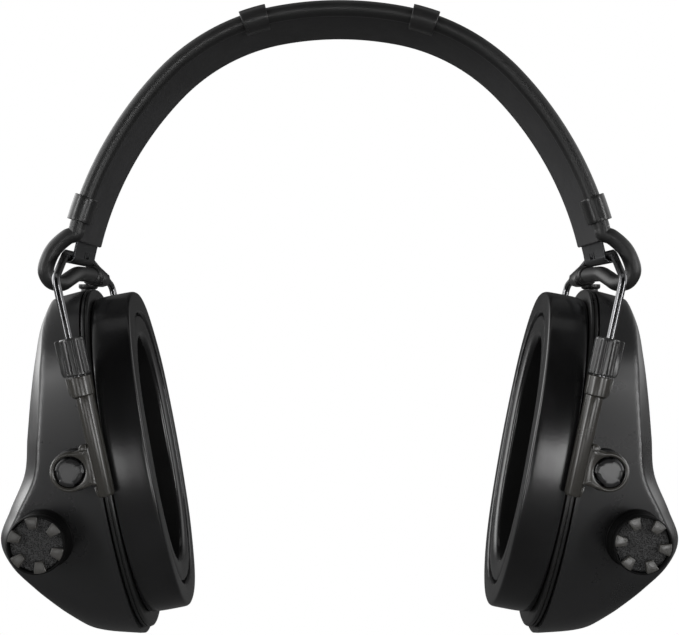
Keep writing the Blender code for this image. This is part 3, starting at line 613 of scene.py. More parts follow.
def arm(side, s, front):
    place = ("front_" if front else "rear_") + side
    axis = leg_point(s, front, 1) - leg_point(s, front, 0)
    across = (leg_point(s, front, 0, 1) - leg_point(s, front, 0)).normalized()
    outward = (leg_point(s, front, 0, 0, 1) - leg_point(s, front, 0)).normalized()
    top = COLLAR_TOP + COLLAR_LENGTH + GAP

    def bar(centre_side, profile, segments=48):
        return turned(leg_point(s, front, 0, centre_side), axis, profile, segments)

    def plate(points, out0, out1):
        return prism(points, out0, out1, lambda q, side_mm, h: leg_point(s, front, q, side_mm, h - SHOULDER[1]))

    end = top + SOCKET_LENGTH
    socket = bar(-0.62, ((2.6, top), (3.35, top + 0.02), (3.55, top + 0.25), (3.5, end - 1.2), (3.42, end - 0.35), (3.1, end - 0.05), (2.4, end + 0.35)))
    tube = bar(TUBE_SIDE, ((2.5, end - 1.0), (2.72, end), (2.72, end + 2.0), (2.5, TUBE_END - 0.8), (2.28, TUBE_END - 0.25), (2.0, TUBE_END), (0.9, TUBE_END)))
    body = make("arm_%s_fine" % place, merge(socket, tube), ARM, 38)
    fin = make("fin", plate(((top + 0.1, 1.2), (top + 0.1, 3.55), (end - 1.1, 3.25), (end - 0.5, 2.7), (end - 0.5, 1.2)), SHOULDER[1] - 0.5, SHOULDER[1] + 0.75),
               ARM, 38, bevel=0.25)
    # the flat lug: a ring round the pivot with its web to the tube
    pivot = P(s * PIVOT_X, 0, PIVOT_Z)
    origin = leg_point(s, front, 0)
    rel = pivot - origin
    pq, ps = rel.dot(axis.normalized()), rel.dot(across)
    corners = ((49.9, 0.6), (49.9, 2.6), (50.6, 3.2), (pq - 5.55, ps - 1.9), (pq + 5.72, ps - 1.4), (pq + 5.2, 2.0), (pq + 5.4, 0.6))
    def inside(q, x, poly):
        hit = False
        for (q0, x0), (q1, x1) in zip(poly, poly[1:] + poly[:1]):
            if (x0 > x) != (x1 > x) and q < (q1 - q0) * (x - x0) / (x1 - x0) + q0:
                hit = not hit
        return hit
    poly = [(q, x) for q, x in corners]
    inner, outer = [], []
    count = 144
    for i in range(count):
        a = 2 * math.pi * i / count
        dq, dx = math.cos(a), math.sin(a)
        r = LUG_R
        probe = 12.0
        while probe > LUG_R:
            if inside(pq + dq * probe, ps + dx * probe, poly):
                r = probe
                break
            probe -= 0.05
        inner.append((pq + dq * LUG_HOLE_R, ps + dx * LUG_HOLE_R))
        outer.append((pq + dq * r, ps + dx * r))
    def level(loop, h, grow=0.0, middle=(pq, ps)):
        out = []
        for q, x in loop:
            d = math.hypot(q - middle[0], x - middle[1])
            k = (d + grow) / d
            out.append(leg_point(s, front, middle[0] + (q - middle[0]) * k, middle[1] + (x - middle[1]) * k, h - SHOULDER[1]))
        return out
    rings = [level(inner, LUG_Y0), level(outer, LUG_Y0), level(outer, LUG_Y1 - 0.5), level(outer, LUG_Y1 - 0.18, -0.12), level(outer, LUG_Y1, -0.5),
             level(inner, LUG_Y1, 0.3), level(inner, LUG_Y1 - 0.25)]
    lug = make("lug", skin(rings, closed_path=True), ARM, 40)
    tip = make("tip", plate(((49.5, 1.3), (49.3, 2.6), (49.9, 3.5), (51.2, 3.9), (51.6, 1.3)), LUG_Y1 - 2.2, LUG_Y1 + 0.45), ARM, 40, bevel=0.35, segments=3)
    stub = make("stub", plate(((TUBE_END - 3.4, -0.4), (TUBE_END - 3.4, 1.7), (TUBE_END - 0.9, 1.6), (TUBE_END - 0.2, 1.1), (TUBE_END - 0.2, -0.4)), SHOULDER[1] - 0.4, LUG_Y1 - 0.35),
                ARM, 40, bevel=0.3)
    join(body, fin, lug, tip, stub)
    shown(body, "arms_" + side, "arm_plastic", "arm_" + place)

    # ribbed friction collar with its flat flange
    e1, e2 = outward, across
    ribs, rings = 13, []
    def loop(q, base, depth):
        out = []
        for i in range(208):
            a = 2 * math.pi * i / 208
            phase = a * ribs / (2 * math.pi) % 1
            r = base - depth * max(0.0, 1 - abs(phase - 0.5) / 0.17)
            out.append(leg_point(s, front, q, -0.62) + (e1 * math.cos(a) + e2 * math.sin(a)) * r)
        return out
    q0, q1 = COLLAR_TOP, COLLAR_TOP + COLLAR_LENGTH
    for q, base, depth in ((q0, 2.9, 0.0), (q0, 3.35, 0.0), (q0 + 0.35, 3.62, 0.0), (q0 + 0.9, 3.66, 0.0), (q0 + 1.2, 3.66, 0.3), (q1 - 0.9, 3.72, 0.3),
                           (q1 - 0.6, 3.72, 0.0), (q1 - 0.25, 3.66, 0.0), (q1, 3.35, 0.0), (q1, 2.9, 0.0)):
        rings.append(loop(q, base, depth))
    barrel = make("collar_%s_fine" % place, skin(rings), COLLAR, 24)
    flange = make("flange", plate(((q0 + 0.05, 0.8), (q0 + 0.05, 4.0), (q0 + 0.5, 4.35), (q1 - 1.6, 4.25), (q1 - 0.4, 3.9), (q1 - 0.1, 3.3), (q1 - 0.1, 0.8)),
                                  SHOULDER[1] - 0.9, SHOULDER[1] + 1.1), COLLAR, 38, bevel=0.28, segments=3)
    join(barrel, flange)
    shown(barrel, "arms_" + side, "collar_plastic", "collar_" + place)


# ------------------------------------------------------------------ cups
def station_depth(u):
    xs = [a for a, _ in STATIONS]
    ys = [b for _, b in STATIONS]
    i = 0
    while i < len(xs) - 2 and u > xs[i + 1]:
        i += 1

    def slope(k):
        if k == 0:
            return (ys[1] - ys[0]) / (xs[1] - xs[0])
        if k == len(xs) - 1:
            return (ys[k] - ys[k - 1]) / (xs[k] - xs[k - 1])
        h0, h1 = xs[k] - xs[k - 1], xs[k + 1] - xs[k]
        return (h0 * (ys[k + 1] - ys[k]) / h1 + h1 * (ys[k] - ys[k - 1]) / h0) / (h0 + h1)

    h = xs[i + 1] - xs[i]
    t = max(0.0, min(1.0, (u - xs[i]) / h))
    return ((2 * t ** 3 - 3 * t * t + 1) * ys[i] + (t ** 3 - 2 * t * t + t) * h * slope(i)
            + (3 * t * t - 2 * t ** 3) * ys[i + 1] + (t ** 3 - t * t) * h * slope(i + 1))


def shell_height(u, v, inset=0.0):
    a, b = SHELL_A - inset, SHELL_B - inset
    rho = ((abs(u - SHELL_SHIFT) / a) ** FACE_N + (abs(v) / b) ** FACE_N) ** (1 / FACE_N)
    rho = max(1e-6, min(1.0, rho))
    edge = (1 - rho) * math.hypot(u - SHELL_SHIFT, v) / rho
    face = station_depth(u) - inset - SHELL_CROWN * (abs(v) / SHELL_CROWN_AT) ** 2
    wall = SHELL_LIP + (SHELL_DRAFT + SHELL_TOP_DRAFT * eased(30, 52, u)) * edge
    soft = 0.8 + 2.4 * eased(34, 50, u) + 8.0 * (1 - eased(-46, -24, u))
    near = max(soft - abs(face - wall), 0.0) / soft
    return max(0.0, min(face, wall) - near * near * soft / 4)


def shell_surface(s, u, v, rise=0.0):
    return cup_point(s, u, v, SHELL_W + shell_height(u, v) + rise)


def shell_normal(s, u, v):
    e = 0.4
    top = shell_surface(s, u, v)
    du, dv = shell_surface(s, u + e, v) - top, shell_surface(s, u, v + e) - top
    n = dv.cross(du).normalized()
    if n.x * s < 0:
        n = -n
    return top, n, du.normalized()


def pill(top, normal, along, length, width, levels, count=48):
    across = normal.cross(along).normalized()
    rings = []
    for grow, d in levels:
        rings.append([top + normal * d + along * math.cos(a) * (length + grow) + across * math.sin(a) * (width + grow)
                      for a in (2 * math.pi * i / count for i in range(count))])
    return skin(rings)


def fillet(bvh, centre, axis, radius, size, floor, count=96, steps=7):
    """A concave strip where a boss meets the surface under it."""
    axis = axis.normalized()
    e1, e2 = frame_on(axis)
    rings = []
    for i in range(count):
        a = 2 * math.pi * i / count
        d = e1 * math.cos(a) + e2 * math.sin(a)
        def height(r):
            start = centre + d * r + axis * 60
            found = bvh.ray_cast(start * MM, -axis)
            return max(floor, (found[0] / MM - centre).dot(axis)) if found[0] else floor
        h0, h1 = height(radius + 0.02), height(radius + size)
        ring = [centre + d * (radius - 0.5) + axis * (min(h0, h1) - 0.8), centre + d * (radius + size) + axis * (h1 - 0.25)]
        for k in range(steps + 1):
            t = k / steps * math.pi / 2
            r = radius + size * (1 - math.sin(t))
            lift = size * (1 - math.cos(t))
            ring.append(centre + d * r + axis * (h1 + (h0 - h1) * math.sin(t) + lift))
        ring.append(centre + d * (radius - 0.5) + axis * (h0 + size))
        rings.append(ring)
    return skin(rings, closed_path=True)


SHELL_CUTS = {"left": [], "right": []}
BUTTONS = (("button_volume_up", 26.0), ("button_power", 13.0), ("button_volume_down", 0.0))


def cup_shell(side, s):
    around = 330
    fractions = [1.0] + [1 - 0.0035 - 0.9965 * (k / 84) ** 1.5 for k in range(84)]
    outer = []
    for n, rho in enumerate(fractions):
        ring = []
        for cu, cv in oval(SHELL_A, SHELL_B, around):
            u, v = SHELL_SHIFT + cu * rho, cv * rho
            ring.append(cup_point(s, u, v, SHELL_W + (shell_height(u, v) if n else 0.0)))
        outer.append(ring)
    pole = cup_point(s, SHELL_SHIFT, 0, SHELL_W + shell_height(SHELL_SHIFT + 0.01, 0))
    inner = []
    for n, rho in enumerate((1.0, 0.97, 0.93, 0.87, 0.78, 0.66, 0.5, 0.3, 0.1)):
        ring = []
        for cu, cv in oval(SHELL_A - SHELL_WALL, SHELL_B - SHELL_WALL, around):
            u, v = SHELL_SHIFT + cu * rho, cv * rho
            ring.append(cup_point(s, u, v, SHELL_W + (shell_height(u, v, SHELL_WALL) if n else 0.0)))
        inner.append(ring)
    body = make("cup_shell_%s_fine" % side, skin(list(reversed(outer)) + inner), SHELL, 50)
    bvh = BVHTree.FromObject(body, bpy.context.evaluated_depsgraph_get())
    gland = P(s * GLAND[0], GLAND[1], 0)
    holes = [turned(gland, Vector((0, 0, 1)), ((3.75, -8), (3.75, 20)), 48)]
    if side == "left":
        for name, u in BUTTONS:
            top, normal, along = shell_normal(s, u, 4.0)
            holes.append(pill(top, normal, along, 4.35, 6.35, ((0, -8), (0, 8))))
        down = cup_point(s, -1, 0, 0) - cup_point(s, 0, 0, 0)
        holes.append(turned(cup_point(s, 0, 6.0, 27.0), down, ((3.7, 40), (3.7, 66)), 48))
    else:
        u0, u1, half, r = -30.3, 17.3, 13.3, 2.2
        outline = []
        for cu, cv, a0 in ((u1 - r, half - r, 0), (u0 + r, half - r, 90), (u0 + r, -half + r, 180), (u1 - r, -half + r, 270)):
            for k in range(9):
                a = math.radians(a0 + 90 * k / 8)
                outline.append((cu + r * math.cos(a), cv + r * math.sin(a)))
        holes.append(prism(outline, 30.0, 72.0, lambda a, b, h: cup_point(s, a, b, h)))
    mic = P(s * MIC_X, 0, MIC_Z)
    forward = Vector((0, -1, 0))
    cut(body, *holes)
    shade(body, 50)
    # the pod and its fillet in the near-black pod plastic: painted shade on the pod's side wall
    pod = make("pod", turned(mic, forward, ((5.3, 22.0), (MIC_R, 24.0), (MIC_R, MIC_SEAT_Y - 0.3), (MIC_R - 0.12, MIC_SEAT_Y - 0.05),
                                             (MIC_R - 0.4, MIC_SEAT_Y), (5.3, MIC_SEAT_Y)), 120, closed=True), POD_PAINTED_SHADE, 30)
    web = make("fillet", fillet(bvh, mic, forward, MIC_R, 0.45, 25.0, 160), POD_PAINTED_SHADE, 60)
    extra = [pod, web]
    for place, sy in (("front", -1), ("rear", 1)):
        pivot = P(s * PIVOT_X, 0, PIVOT_Z)
        count, rings = 144, []
        def outline(grow, depth):
            ring = []
            for i in range(count):
                a = math.degrees(2 * math.pi * i / count)
                notch = 0.0
                for middle, half in ((108, 36), (-18, 26), (218, 34)):
                    gap = abs((a - middle + 180) % 360 - 180)
                    notch = max(notch, 1 - eased(half - 5, half + 1, gap))
                r = BOSS_R + grow - 0.55 * notch
                b = math.radians(a)
                ring.append(pivot + Vector((-s * math.cos(b) * -1 * r, sy * depth, math.sin(b) * r)))
            return ring
        rings = [outline(0, 31.5), outline(0, 40.5), outline(-0.12, 40.85), outline(-0.45, 41.05), outline(-1.4, 41.1), outline(-3.3, 41.1)]
        extra.append(make("boss", skin(rings), SHELL, 40))
        extra.append(make("seat", turned(pivot, Vector((0, sy, 0)), ((6.4, 31.0), (6.4, 35.2), (6.0, 36.2), (5.2, 36.9), (4.2, 37.2), (1.0, 37.2)), 72), SHELL, 50))
    join(body, *extra)
    shown(body, "cup_" + side, "shell_plastic", "cup_shell_" + side)
    return body


def oval_ring(s, profile, around, steps=6):
    """A body of rings round the cup's oval. profile lists (inset from the cushion's edge, w)."""
    rings = []
    span_a, span_b = CUSHION_A - OPENING_A, CUSHION_B - OPENING_B
    for d, w in profile:
        k = d / span_b
        rings.append([(u, v, w) for u, v in oval(CUSHION_A - span_a * k, CUSHION_B - span_b * k, around)])
    return rings


def cushion(side, s):
    """Foam ring in a welded glossy skin: rolled outer rim, weld groove, sunk inner ring and a soft lip round the opening."""
    knots = [(2.2, 12.5), (0.75, 12.45), (0.35, 11.8), (0.12, 10.0), (0.02, 7.6), (0.0, 4.6), (0.0, 2.6), (0.03, 1.35), (0.16, 0.72), (0.45, 0.32), (0.95, 0.13),
             (1.7, 0.07), (2.8, 0.04), (4.2, 0.04), (5.5, 0.1), (6.2, 0.3), (6.6, 0.8), (6.82, 1.7), (7.0, 2.1), (7.2, 1.8), (7.45, 1.05), (7.9, 0.68), (9.0, 0.56), (10.5, 0.6), (11.8, 0.76),
             (12.8, 1.0), (13.45, 1.32), (13.85, 1.85), (14.08, 2.7), (14.2, 4.4), (14.3, 7.0), (14.3, 9.8), (14.3, 12.5)]
    line = smooth_path([Vector((a, b, 0)) for a, b in knots], 4)
    rings = oval_ring(s, [(p.x, p.y) for p in line], 240)
    out = []
    for n, ring in enumerate(rings):
        d, w = line[n].x, line[n].y
        placed = []
        for u, v, h in ring:
            loose = 0.16 * noise.noise(Vector((u * 0.045 + 7 * s, v * 0.05, d * 0.12)))
            tuck = 0.05 * math.sin(math.atan2(v, u) * 46) * math.exp(-((d - 7.0) / 1.4) ** 2)
            h = h + (loose + tuck) * (1 - eased(7.5, 12.0, w))
            placed.append(cup_point(s, u, v, max(h, -0.2)))
        out.append(placed)
    ring = make("cushion_%s_skin" % side, skin(out, closed_path=True), VINYL, 70)
    ring.data.materials.append(LINING_PAINTED_SHADE)
    middle = cup_point(s, 0, 0, 0)
    eu, ev = cup_point(s, 1, 0, 0) - middle, cup_point(s, 0, 1, 0) - middle
    ew = cup_point(s, 0, 0, 1) - middle
    # faces deep in the opening take the lining: the lining's own dark colour plus painted shade of the recess
    for poly in ring.data.polygons:
        c = poly.center / MM - middle
        u, v, w = c.dot(eu), c.dot(ev), c.dot(ew)
        if w > 2.5 and (abs(u) / (OPENING_A + 1.9)) ** FACE_N + (abs(v) / (OPENING_B + 1.9)) ** FACE_N < 1:
            poly.material_index = 1
    shown(ring, "cup_" + side, "cushion_skin", "cushion_" + side)

    # the dished foam pad in the opening
    rings = []
    for rho, w in ((0.2, 12.3), (0.9, 12.3), (0.985, 12.0), (1.0, 11.0), (1.0, 9.6), (0.985, 8.9), (0.95, 8.5), (0.85, 8.35), (0.7, 8.55), (0.5, 8.8), (0.3, 8.95), (0.1, 9.0)):
        ringed = []
        for u, v in oval((OPENING_A - 0.8) * rho, (OPENING_B - 0.8) * rho, 120):
            ringed.append(cup_point(s, u, v, w + 0.22 * noise.noise(Vector((u * 0.22, v * 0.22, 3.1 * s)))))
        rings.append(ringed)
    # pad foam tone includes painted shade of the opening
    pad = make("ear_foam_%s_fine" % side, skin(rings), EAR_FOAM_PAINTED_SHADE, 60)
    shown(pad, "cup_" + side, "ear_foam", "ear_foam_" + side)


def plate_ring(side, s):
    """The base plate's rounded flange between shell and cushion, with a fine bead line."""
    profile = ((2.2, 12.8), (0.5, 12.82), (0.12, 13.0), (0.0, 13.35), (0.05, 13.7), (0.42, 13.85), (0.42, 14.05), (0.0, 14.2), (0.0, 14.8), (0.15, 15.1), (0.5, 15.2), (2.2, 15.2))
    rings = []
    for d, w in profile:
        rings.append([cup_point(s, u, v, w) for u, v in oval(PLATE_A - d, PLATE_B - d, 230, -0.7)])
    for a, b, w in ((17.0, 13.0, 15.2), (17.0, 13.0, 12.8)):
        rings.append([cup_point(s, u, v, w) for u, v in oval(a, b, 230, 0)])
    ring = make("base_plate_%s_fine" % side, skin(rings, closed_path=True), PLATE, 40)
    shown(ring, "cup_" + side, "plate_plastic", "base_plate_" + side)


def microphone(side, s):
    mic = P(s * MIC_X, 0, MIC_Z)
    forward = Vector((0, -1, 0))
    # the guard ring in the near-black pod plastic: painted shade round the teeth
    ring = make("mic_guard_%s_fine" % side, turned(mic, forward, (
        (MIC_R - 0.75, MIC_SEAT_Y + GAP), (MIC_R - 0.1, MIC_SEAT_Y + GAP), (MIC_R, MIC_SEAT_Y + 0.45), (MIC_R, MIC_FACE_Y - 0.75), (MIC_R - 0.1, MIC_FACE_Y - 0.35),
        (MIC_R - 0.32, MIC_FACE_Y - 0.12), (MIC_R - 0.55, MIC_FACE_Y - 0.1), (MIC_R - 0.75, MIC_FACE_Y - 0.4)), 144, closed=True), POD_PAINTED_SHADE, 40)
    teeth = []
    first = -10 if s == 1 else -20
    for k in range(6):
        mid = math.radians(first + 60 * k)
        outline = [(r, mid + math.radians(a)) for r, a in ((4.95, -12.5), (MIC_R - 0.5, -13.2), (MIC_R - 0.42, -7), (MIC_R - 0.4, 0), (MIC_R - 0.42, 7), (MIC_R - 0.5, 13.2), (4.95, 12.5))]
        teeth.append(make("tooth", prism(outline, MIC_FACE_Y - 1.5, MIC_FACE_Y + 0.02, lambda r, a, h: mic + Vector((math.cos(a) * r, -h, math.sin(a) * r))),
                          GUARD, 38, bevel=0.2, segments=3))
    join(ring, *teeth)
    shown(ring, "cup_" + side, "guard_plastic", "mic_guard_" + side)

    # granular foam disc: cells raised in the mesh itself
    rings, around = [], 132
    profile = [(0.2 + (MIC_R - 1.1 - 0.2) * (k / 36), MIC_FACE_Y - 1.3) for k in range(37)] + [(MIC_R - 0.85, MIC_FACE_Y - 1.6), (MIC_R - 0.85, MIC_SEAT_Y + 0.4), (MIC_R - 1.6, MIC_SEAT_Y + 0.35), (0.4, MIC_SEAT_Y + 0.35)]
    for n, (r, h) in enumerate(profile):
        ringed = []
        for i in range(around):
            a = 2 * math.pi * i / around
            x, z = math.cos(a) * r, math.sin(a) * r
            grain = 0.0
            if n < 38:
                grain = 0.16 * noise.noise(Vector((x * 2.6, z * 2.6, 5.0 * s))) + 0.1 * noise.noise(Vector((x * 5.5, z * 5.5, 9.0)))
            ringed.append(mic + Vector((x, -(h + grain), z)))
        rings.append(ringed)
    disc = make("mic_foam_%s_fine" % side, skin(rings), MIC_FOAM, 80)
    shown(disc, "cup_" + side, "mic_foam", "mic_foam_" + side)


def gland(side, s):
    base = P(s * GLAND[0], GLAND[1], 0)
    profile = [(2.6, -4.0), (3.5, -4.0), (3.6, -3.7), (3.6, 2.6), (3.45, 3.0)]
    z = 3.0
    for k in range(3):  # ribbed boot
        profile += [(3.35 - 0.12 * k, z + 0.1), (3.35 - 0.12 * k, z + 0.65), (3.05 - 0.12 * k, z + 0.8), (3.05 - 0.12 * k, z + 1.0)]
        z += 1.05
    profile += [(2.85, GLAND_TOP - 0.1), (2.7, GLAND_TOP), (2.62, GLAND_TOP - 0.6)]
    shown(make("cable_gland_%s_fine" % side, turned(base, Vector((0, 0, 1)), profile, 48, closed=False), KEEPER, 34), "cup_" + side, "clip_plastic", "cable_gland_" + side)


def cable_ends(side, s):
    """The slack loop from the band's end to the keeper, and the lead's upper and lower pieces at the gland, each baked
    in place.
    """
    x0, z0, _ = band_station(BAND_HALF - 4.0, BAND_MID)
    x1, z1, _ = band_station(BAND_HALF - 7.0, BAND_MID)
    end, before = P(x0, CABLE_Y, z0), P(x1, CABLE_Y, z1)
    along = (end - before).normalized()
    knots = [end, end + along * 2.0] + [P(x, y, z) for x, y, z in (
        (85.7, -18.0, 25.2), (89.3, -18.3, 21.9), (91.3, -18.6, 18.2), (92.2, -18.3, 14.4), (90.9, -16.6, 11.4),
        (88.7, -12.6, 10.9), (87.3, -8.0, 12.6), (86.4, -2.5, 14.2), (86.0, 4.0, 14.5), (85.7, 11.0, 14.5),
        (85.6, KEEPER_Y0 - 0.1, 14.5))]
    points, faces = tube_along(smooth_path(knots, 10), CABLE_R, 28)
    points = [Vector((s * p.x, p.y, p.z)) for p in points]
    loop = make("cable_loop_%s_fine" % side, (points, faces), CABLE, 60)
    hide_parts("cable_loop_" + side)
    start, stop = P(s * x0, CABLE_Y, z0) * MM, P(s * 88.7, -12.6, 10.9) * MM
    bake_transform(loop)
    x, y = s * GLAND[0], GLAND[1]
    upper = make("cable_lead_upper_" + side, tube_along([P(x, y, z) for z in spread(11.4, 8.9, 12)], CABLE_R, 28), CABLE, 60)
    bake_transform(upper)
    lower = make("cable_lead_lower_" + side, tube_along([P(x, y, z) for z in spread(8.95, 4.6, 16)], CABLE_R, 28), CABLE, 60)
    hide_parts("cable_lead_" + side)
    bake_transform(lower)


def controls():
    s = 1
    for name, u in BUTTONS:
        top, normal, along = shell_normal(s, u, 4.0)
        across = normal.cross(along).normalized()
        key = make(name + "_fine", pill(top, normal, along, 4.1, 6.1, ((-0.4, -4.0), (0, -3.6), (0, 0.35), (-0.12, 0.62), (-0.4, 0.82), (-0.9, 0.93), (-2.0, 1.0), (-3.4, 1.02))),
                   BUTTON, 50)
        marks = []
        def bar_mark(a, b):
            box = [top + normal * h + along * (a * i) + across * (b * j) for h in (0.8, 1.25) for i, j in ((-1, -1), (1, -1), (1, 1), (-1, 1))]
            return make("mark", (box, [(0, 1, 2, 3), (7, 6, 5, 4), (0, 4, 5, 1), (1, 5, 6, 2), (2, 6, 7, 3), (3, 7, 4, 0)]), BUTTON, 40, bevel=0.1)
        if name != "button_power":
            marks.append(bar_mark(0.3, 1.5))
        if name == "button_volume_up":
            marks.append(bar_mark(1.5, 0.3))
        if name == "button_power":
            marks.append(make("mark", turned(top, normal, ((0.8, 0.8), (1.4, 0.8), (1.4, 1.2), (1.25, 1.27), (0.95, 1.27), (0.8, 1.2)), 40, closed=True), BUTTON, 40))
        join(key, *marks)
        shown(key, name, "button_rubber", name)
    down = cup_point(s, -1, 0, 0) - cup_point(s, 0, 0, 0)
    base = cup_point(s, 0, 6.0, 27.0)
    jack = make("audio_socket_fine", turned(base, down, ((1.8, 49.0), (3.5, 46.0), (3.5, 55.6), (3.35, 55.95), (3.0, 56.15), (2.2, 56.15), (1.9, 55.9), (1.8, 55.4)), 64, closed=True), PLATE, 34)
    sleeve = make("sleeve", turned(base, down, ((1.25, 48.0), (1.72, 48.0), (1.72, 55.2), (1.5, 55.35), (1.25, 55.2)), 48, closed=True), TIN, 40)
    join(jack, sleeve)
    jack.data.materials.append(TIN)
    axis = down.normalized()
    for poly in jack.data.polygons:
        c = poly.center / MM - base
        if (c - axis * c.dot(axis)).length < 1.76:
            poly.material_index = 1
    shown(jack, "cup_left", "plate_plastic", "audio_socket")


def door():
    """The battery door: a patch of the shell's own surface, with a rounded edge, a finger rest and grip ribs."""
    s = -1
    u0, u1, half, r = -30.0, 17.0, 13.0, 2.0
    rows, cols = 64, 36
    def warp(a, b):
        """Unit square to the rounded outline."""
        u, v = u0 + (u1 - u0) * a, -half + 2 * half * b
        for cu, su in ((u1 - r, 1), (u0 + r, -1)):
            for cv, sv in ((half - r, 1), (-half + r, -1)):
                du, dv = (u - cu) * su, (v - cv) * sv
                if du > 0 and dv > 0:
                    m = max(du, dv)
                    k = m / math.hypot(du, dv)
                    u, v = cu + su * du * k, cv + sv * dv * k
        return u, v
    top, low = [], []
    for i in range(rows + 1):
        for j in range(cols + 1):
            u, v = warp(i / rows, j / cols)
            edge = min(u - u0, u1 - u, v + half, half - v)
            h = SHELL_W + shell_height(u, v) - 0.28 * (1 - min(1.0, max(0.0, edge) / 0.55)) ** 2
            rest = math.exp(-(((u + 25.2) / 2.2) ** 2) ** 2) * math.exp(-((v / 6.5) ** 2) ** 2)
            h -= 0.75 * rest
            for k in range(3):  # grip ribs in the finger rest
                h += 0.42 * math.exp(-((u + 26.6 - 1.4 * k) / 0.32) ** 2) * math.exp(-((v / 5.2) ** 2) ** 2)
            top.append(cup_point(s, u, v, h))
            low.append(cup_point(s, u, v, SHELL_W + shell_height(u, v) - SHELL_WALL))
    n, off, faces = cols + 1, len(top), []
    for i in range(rows):
        for j in range(cols):
            a = i * n + j
            faces.append((a, a + 1, a + n + 1, a + n))
            faces.append((off + a, off + a + n, off + a + n + 1, off + a + 1))
    rim = ([j for j in range(n)] + [i * n + cols for i in range(1, rows + 1)]
           + [rows * n + j for j in range(cols - 1, -1, -1)] + [i * n for i in range(rows - 1, 0, -1)])
    for a, b in zip(rim, rim[1:] + rim[:1]):
        faces.append((a, off + a, off + b, b))
    shown(make("battery_door_fine", (top + low, faces), SHELL, 34), "battery_door", "shell_plastic", "battery_door")
    up = cup_point(s, 1, 0, 0) - cup_point(s, 0, 0, 0)
    for name, v in (("battery_front", -5.6), ("battery_rear", 5.6)):
        cell = make(name + "_fine", turned(cup_point(s, 0, v, 30.0), up, ((3.2, -31.4), (4.6, -31.4), (5.05, -31.2), (5.25, -30.8), (5.25, 10.1), (5.0, 10.5), (4.4, 10.6), (2.1, 10.65),
                    (1.9, 10.8), (1.9, 11.8), (1.7, 12.0), (0.6, 12.0)), 56), BATTERY, 40)
        shown(cell, "cup_right", "battery_case", name)


headband()
for side, s in SIDES:
    yoke(side, s)
    arm(side, s, True)
    arm(side, s, False)
    cup_shell(side, s)
    plate_ring(side, s)
    cushion(side, s)
    microphone(side, s)
    gland(side, s)
    cable_ends(side, s)
controls()
door()

# pieces kept as the CAD made them, with their own finish
KEPT = {"speaker_left": PLATE, "speaker_right": PLATE, "mic_capsule_left": TIN, "mic_capsule_right": TIN,
        "circuit_board": BOARD, "battery_tray": TRAY}
for name, material in KEPT.items():
    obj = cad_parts[name]
    obj.data.materials.clear()
    obj.data.materials.append(material)

# ------------------------------------------------------------------ stage, light, camera
floor_mesh = bpy.data.meshes.new("floor")
FLOOR_Z = -0.40
floor_mesh.from_pydata([(-14, -14, FLOOR_Z), (14, -14, FLOOR_Z), (14, 14, FLOOR_Z), (-14, 14, FLOOR_Z)], [], [(0, 1, 2, 3)])
floor = bpy.data.objects.new("floor", floor_mesh)
scene.collection.objects.link(floor)
pale = bpy.data.materials.new("pale_floor")
pale.use_nodes = True
pt = pale.node_tree
pale_shader = pt.nodes["Principled BSDF"]
pale_shader.inputs["Roughness"].default_value = 0.9
pale_shader.inputs["Specular IOR Level"].default_value = 0.1
grain = pt.nodes.new("ShaderNodeTexNoise")
grain.inputs["Scale"].default_value = 30.0
tint = pt.nodes.new("ShaderNodeValToRGB")
tint.color_ramp.elements[0].color, tint.color_ramp.elements[1].color = (0.16, 0.16, 0.16, 1), (0.19, 0.19, 0.19, 1)
pt.links.new(grain.outputs["Fac"], tint.inputs["Fac"])
pt.links.new(tint.outputs["Color"], pale_shader.inputs["Base Color"])
pale_white = pt.nodes.new("ShaderNodeEmission")
pale_white.inputs["Strength"].default_value = 1.0
pale_mix = pt.nodes.new("ShaderNodeMixShader")
pale_path = pt.nodes.new("ShaderNodeLightPath")
pt.links.new(pale_path.outputs["Is Camera Ray"], pale_mix.inputs["Fac"])
pt.links.new(pale_shader.outputs["BSDF"], pale_mix.inputs[1])
pt.links.new(pale_white.outputs["Emission"], pale_mix.inputs[2])
pt.links.new(pale_mix.outputs["Shader"], pt.nodes["Material Output"].inputs["Surface"])
floor_mesh.materials.append(pale)

world = bpy.data.worlds.new("studio")
scene.world = world
world.use_nodes = True
wt = world.node_tree
wt.nodes.clear()
out = wt.nodes.new("ShaderNodeOutputWorld")
mix = wt.nodes.new("ShaderNodeMixShader")
seen = wt.nodes.new("ShaderNodeBackground")
seen.inputs["Color"].default_value = (1, 1, 1, 1)
seen.inputs["Strength"].default_value = 1.0
lit = wt.nodes.new("ShaderNodeBackground")
path = wt.nodes.new("ShaderNodeLightPath")
coord = wt.nodes.new("ShaderNodeTexCoord")
split = wt.nodes.new("ShaderNodeSeparateXYZ")
wt.links.new(coord.outputs["Generated"], split.inputs["Vector"])


def wmath(kind, a, b, c=None):
    n = wt.nodes.new("ShaderNodeMath")
    n.operation = kind
    for i, x in enumerate((a, b, c)):
        if x is None:
            continue
        if isinstance(x, (int, float)):
            n.inputs[i].default_value = x
        else:
            wt.links.new(x, n.inputs[i])
    return n.outputs[0]


def wrange(value, a0, a1, b0, b1):
    n = wt.nodes.new("ShaderNodeMapRange")
    n.interpolation_type = "SMOOTHSTEP"
    for key, x in (("From Min", a0), ("From Max", a1), ("To Min", b0), ("To Max", b1)):
        n.inputs[key].default_value = x
    wt.links.new(value, n.inputs["Value"])
    return n.outputs[0]


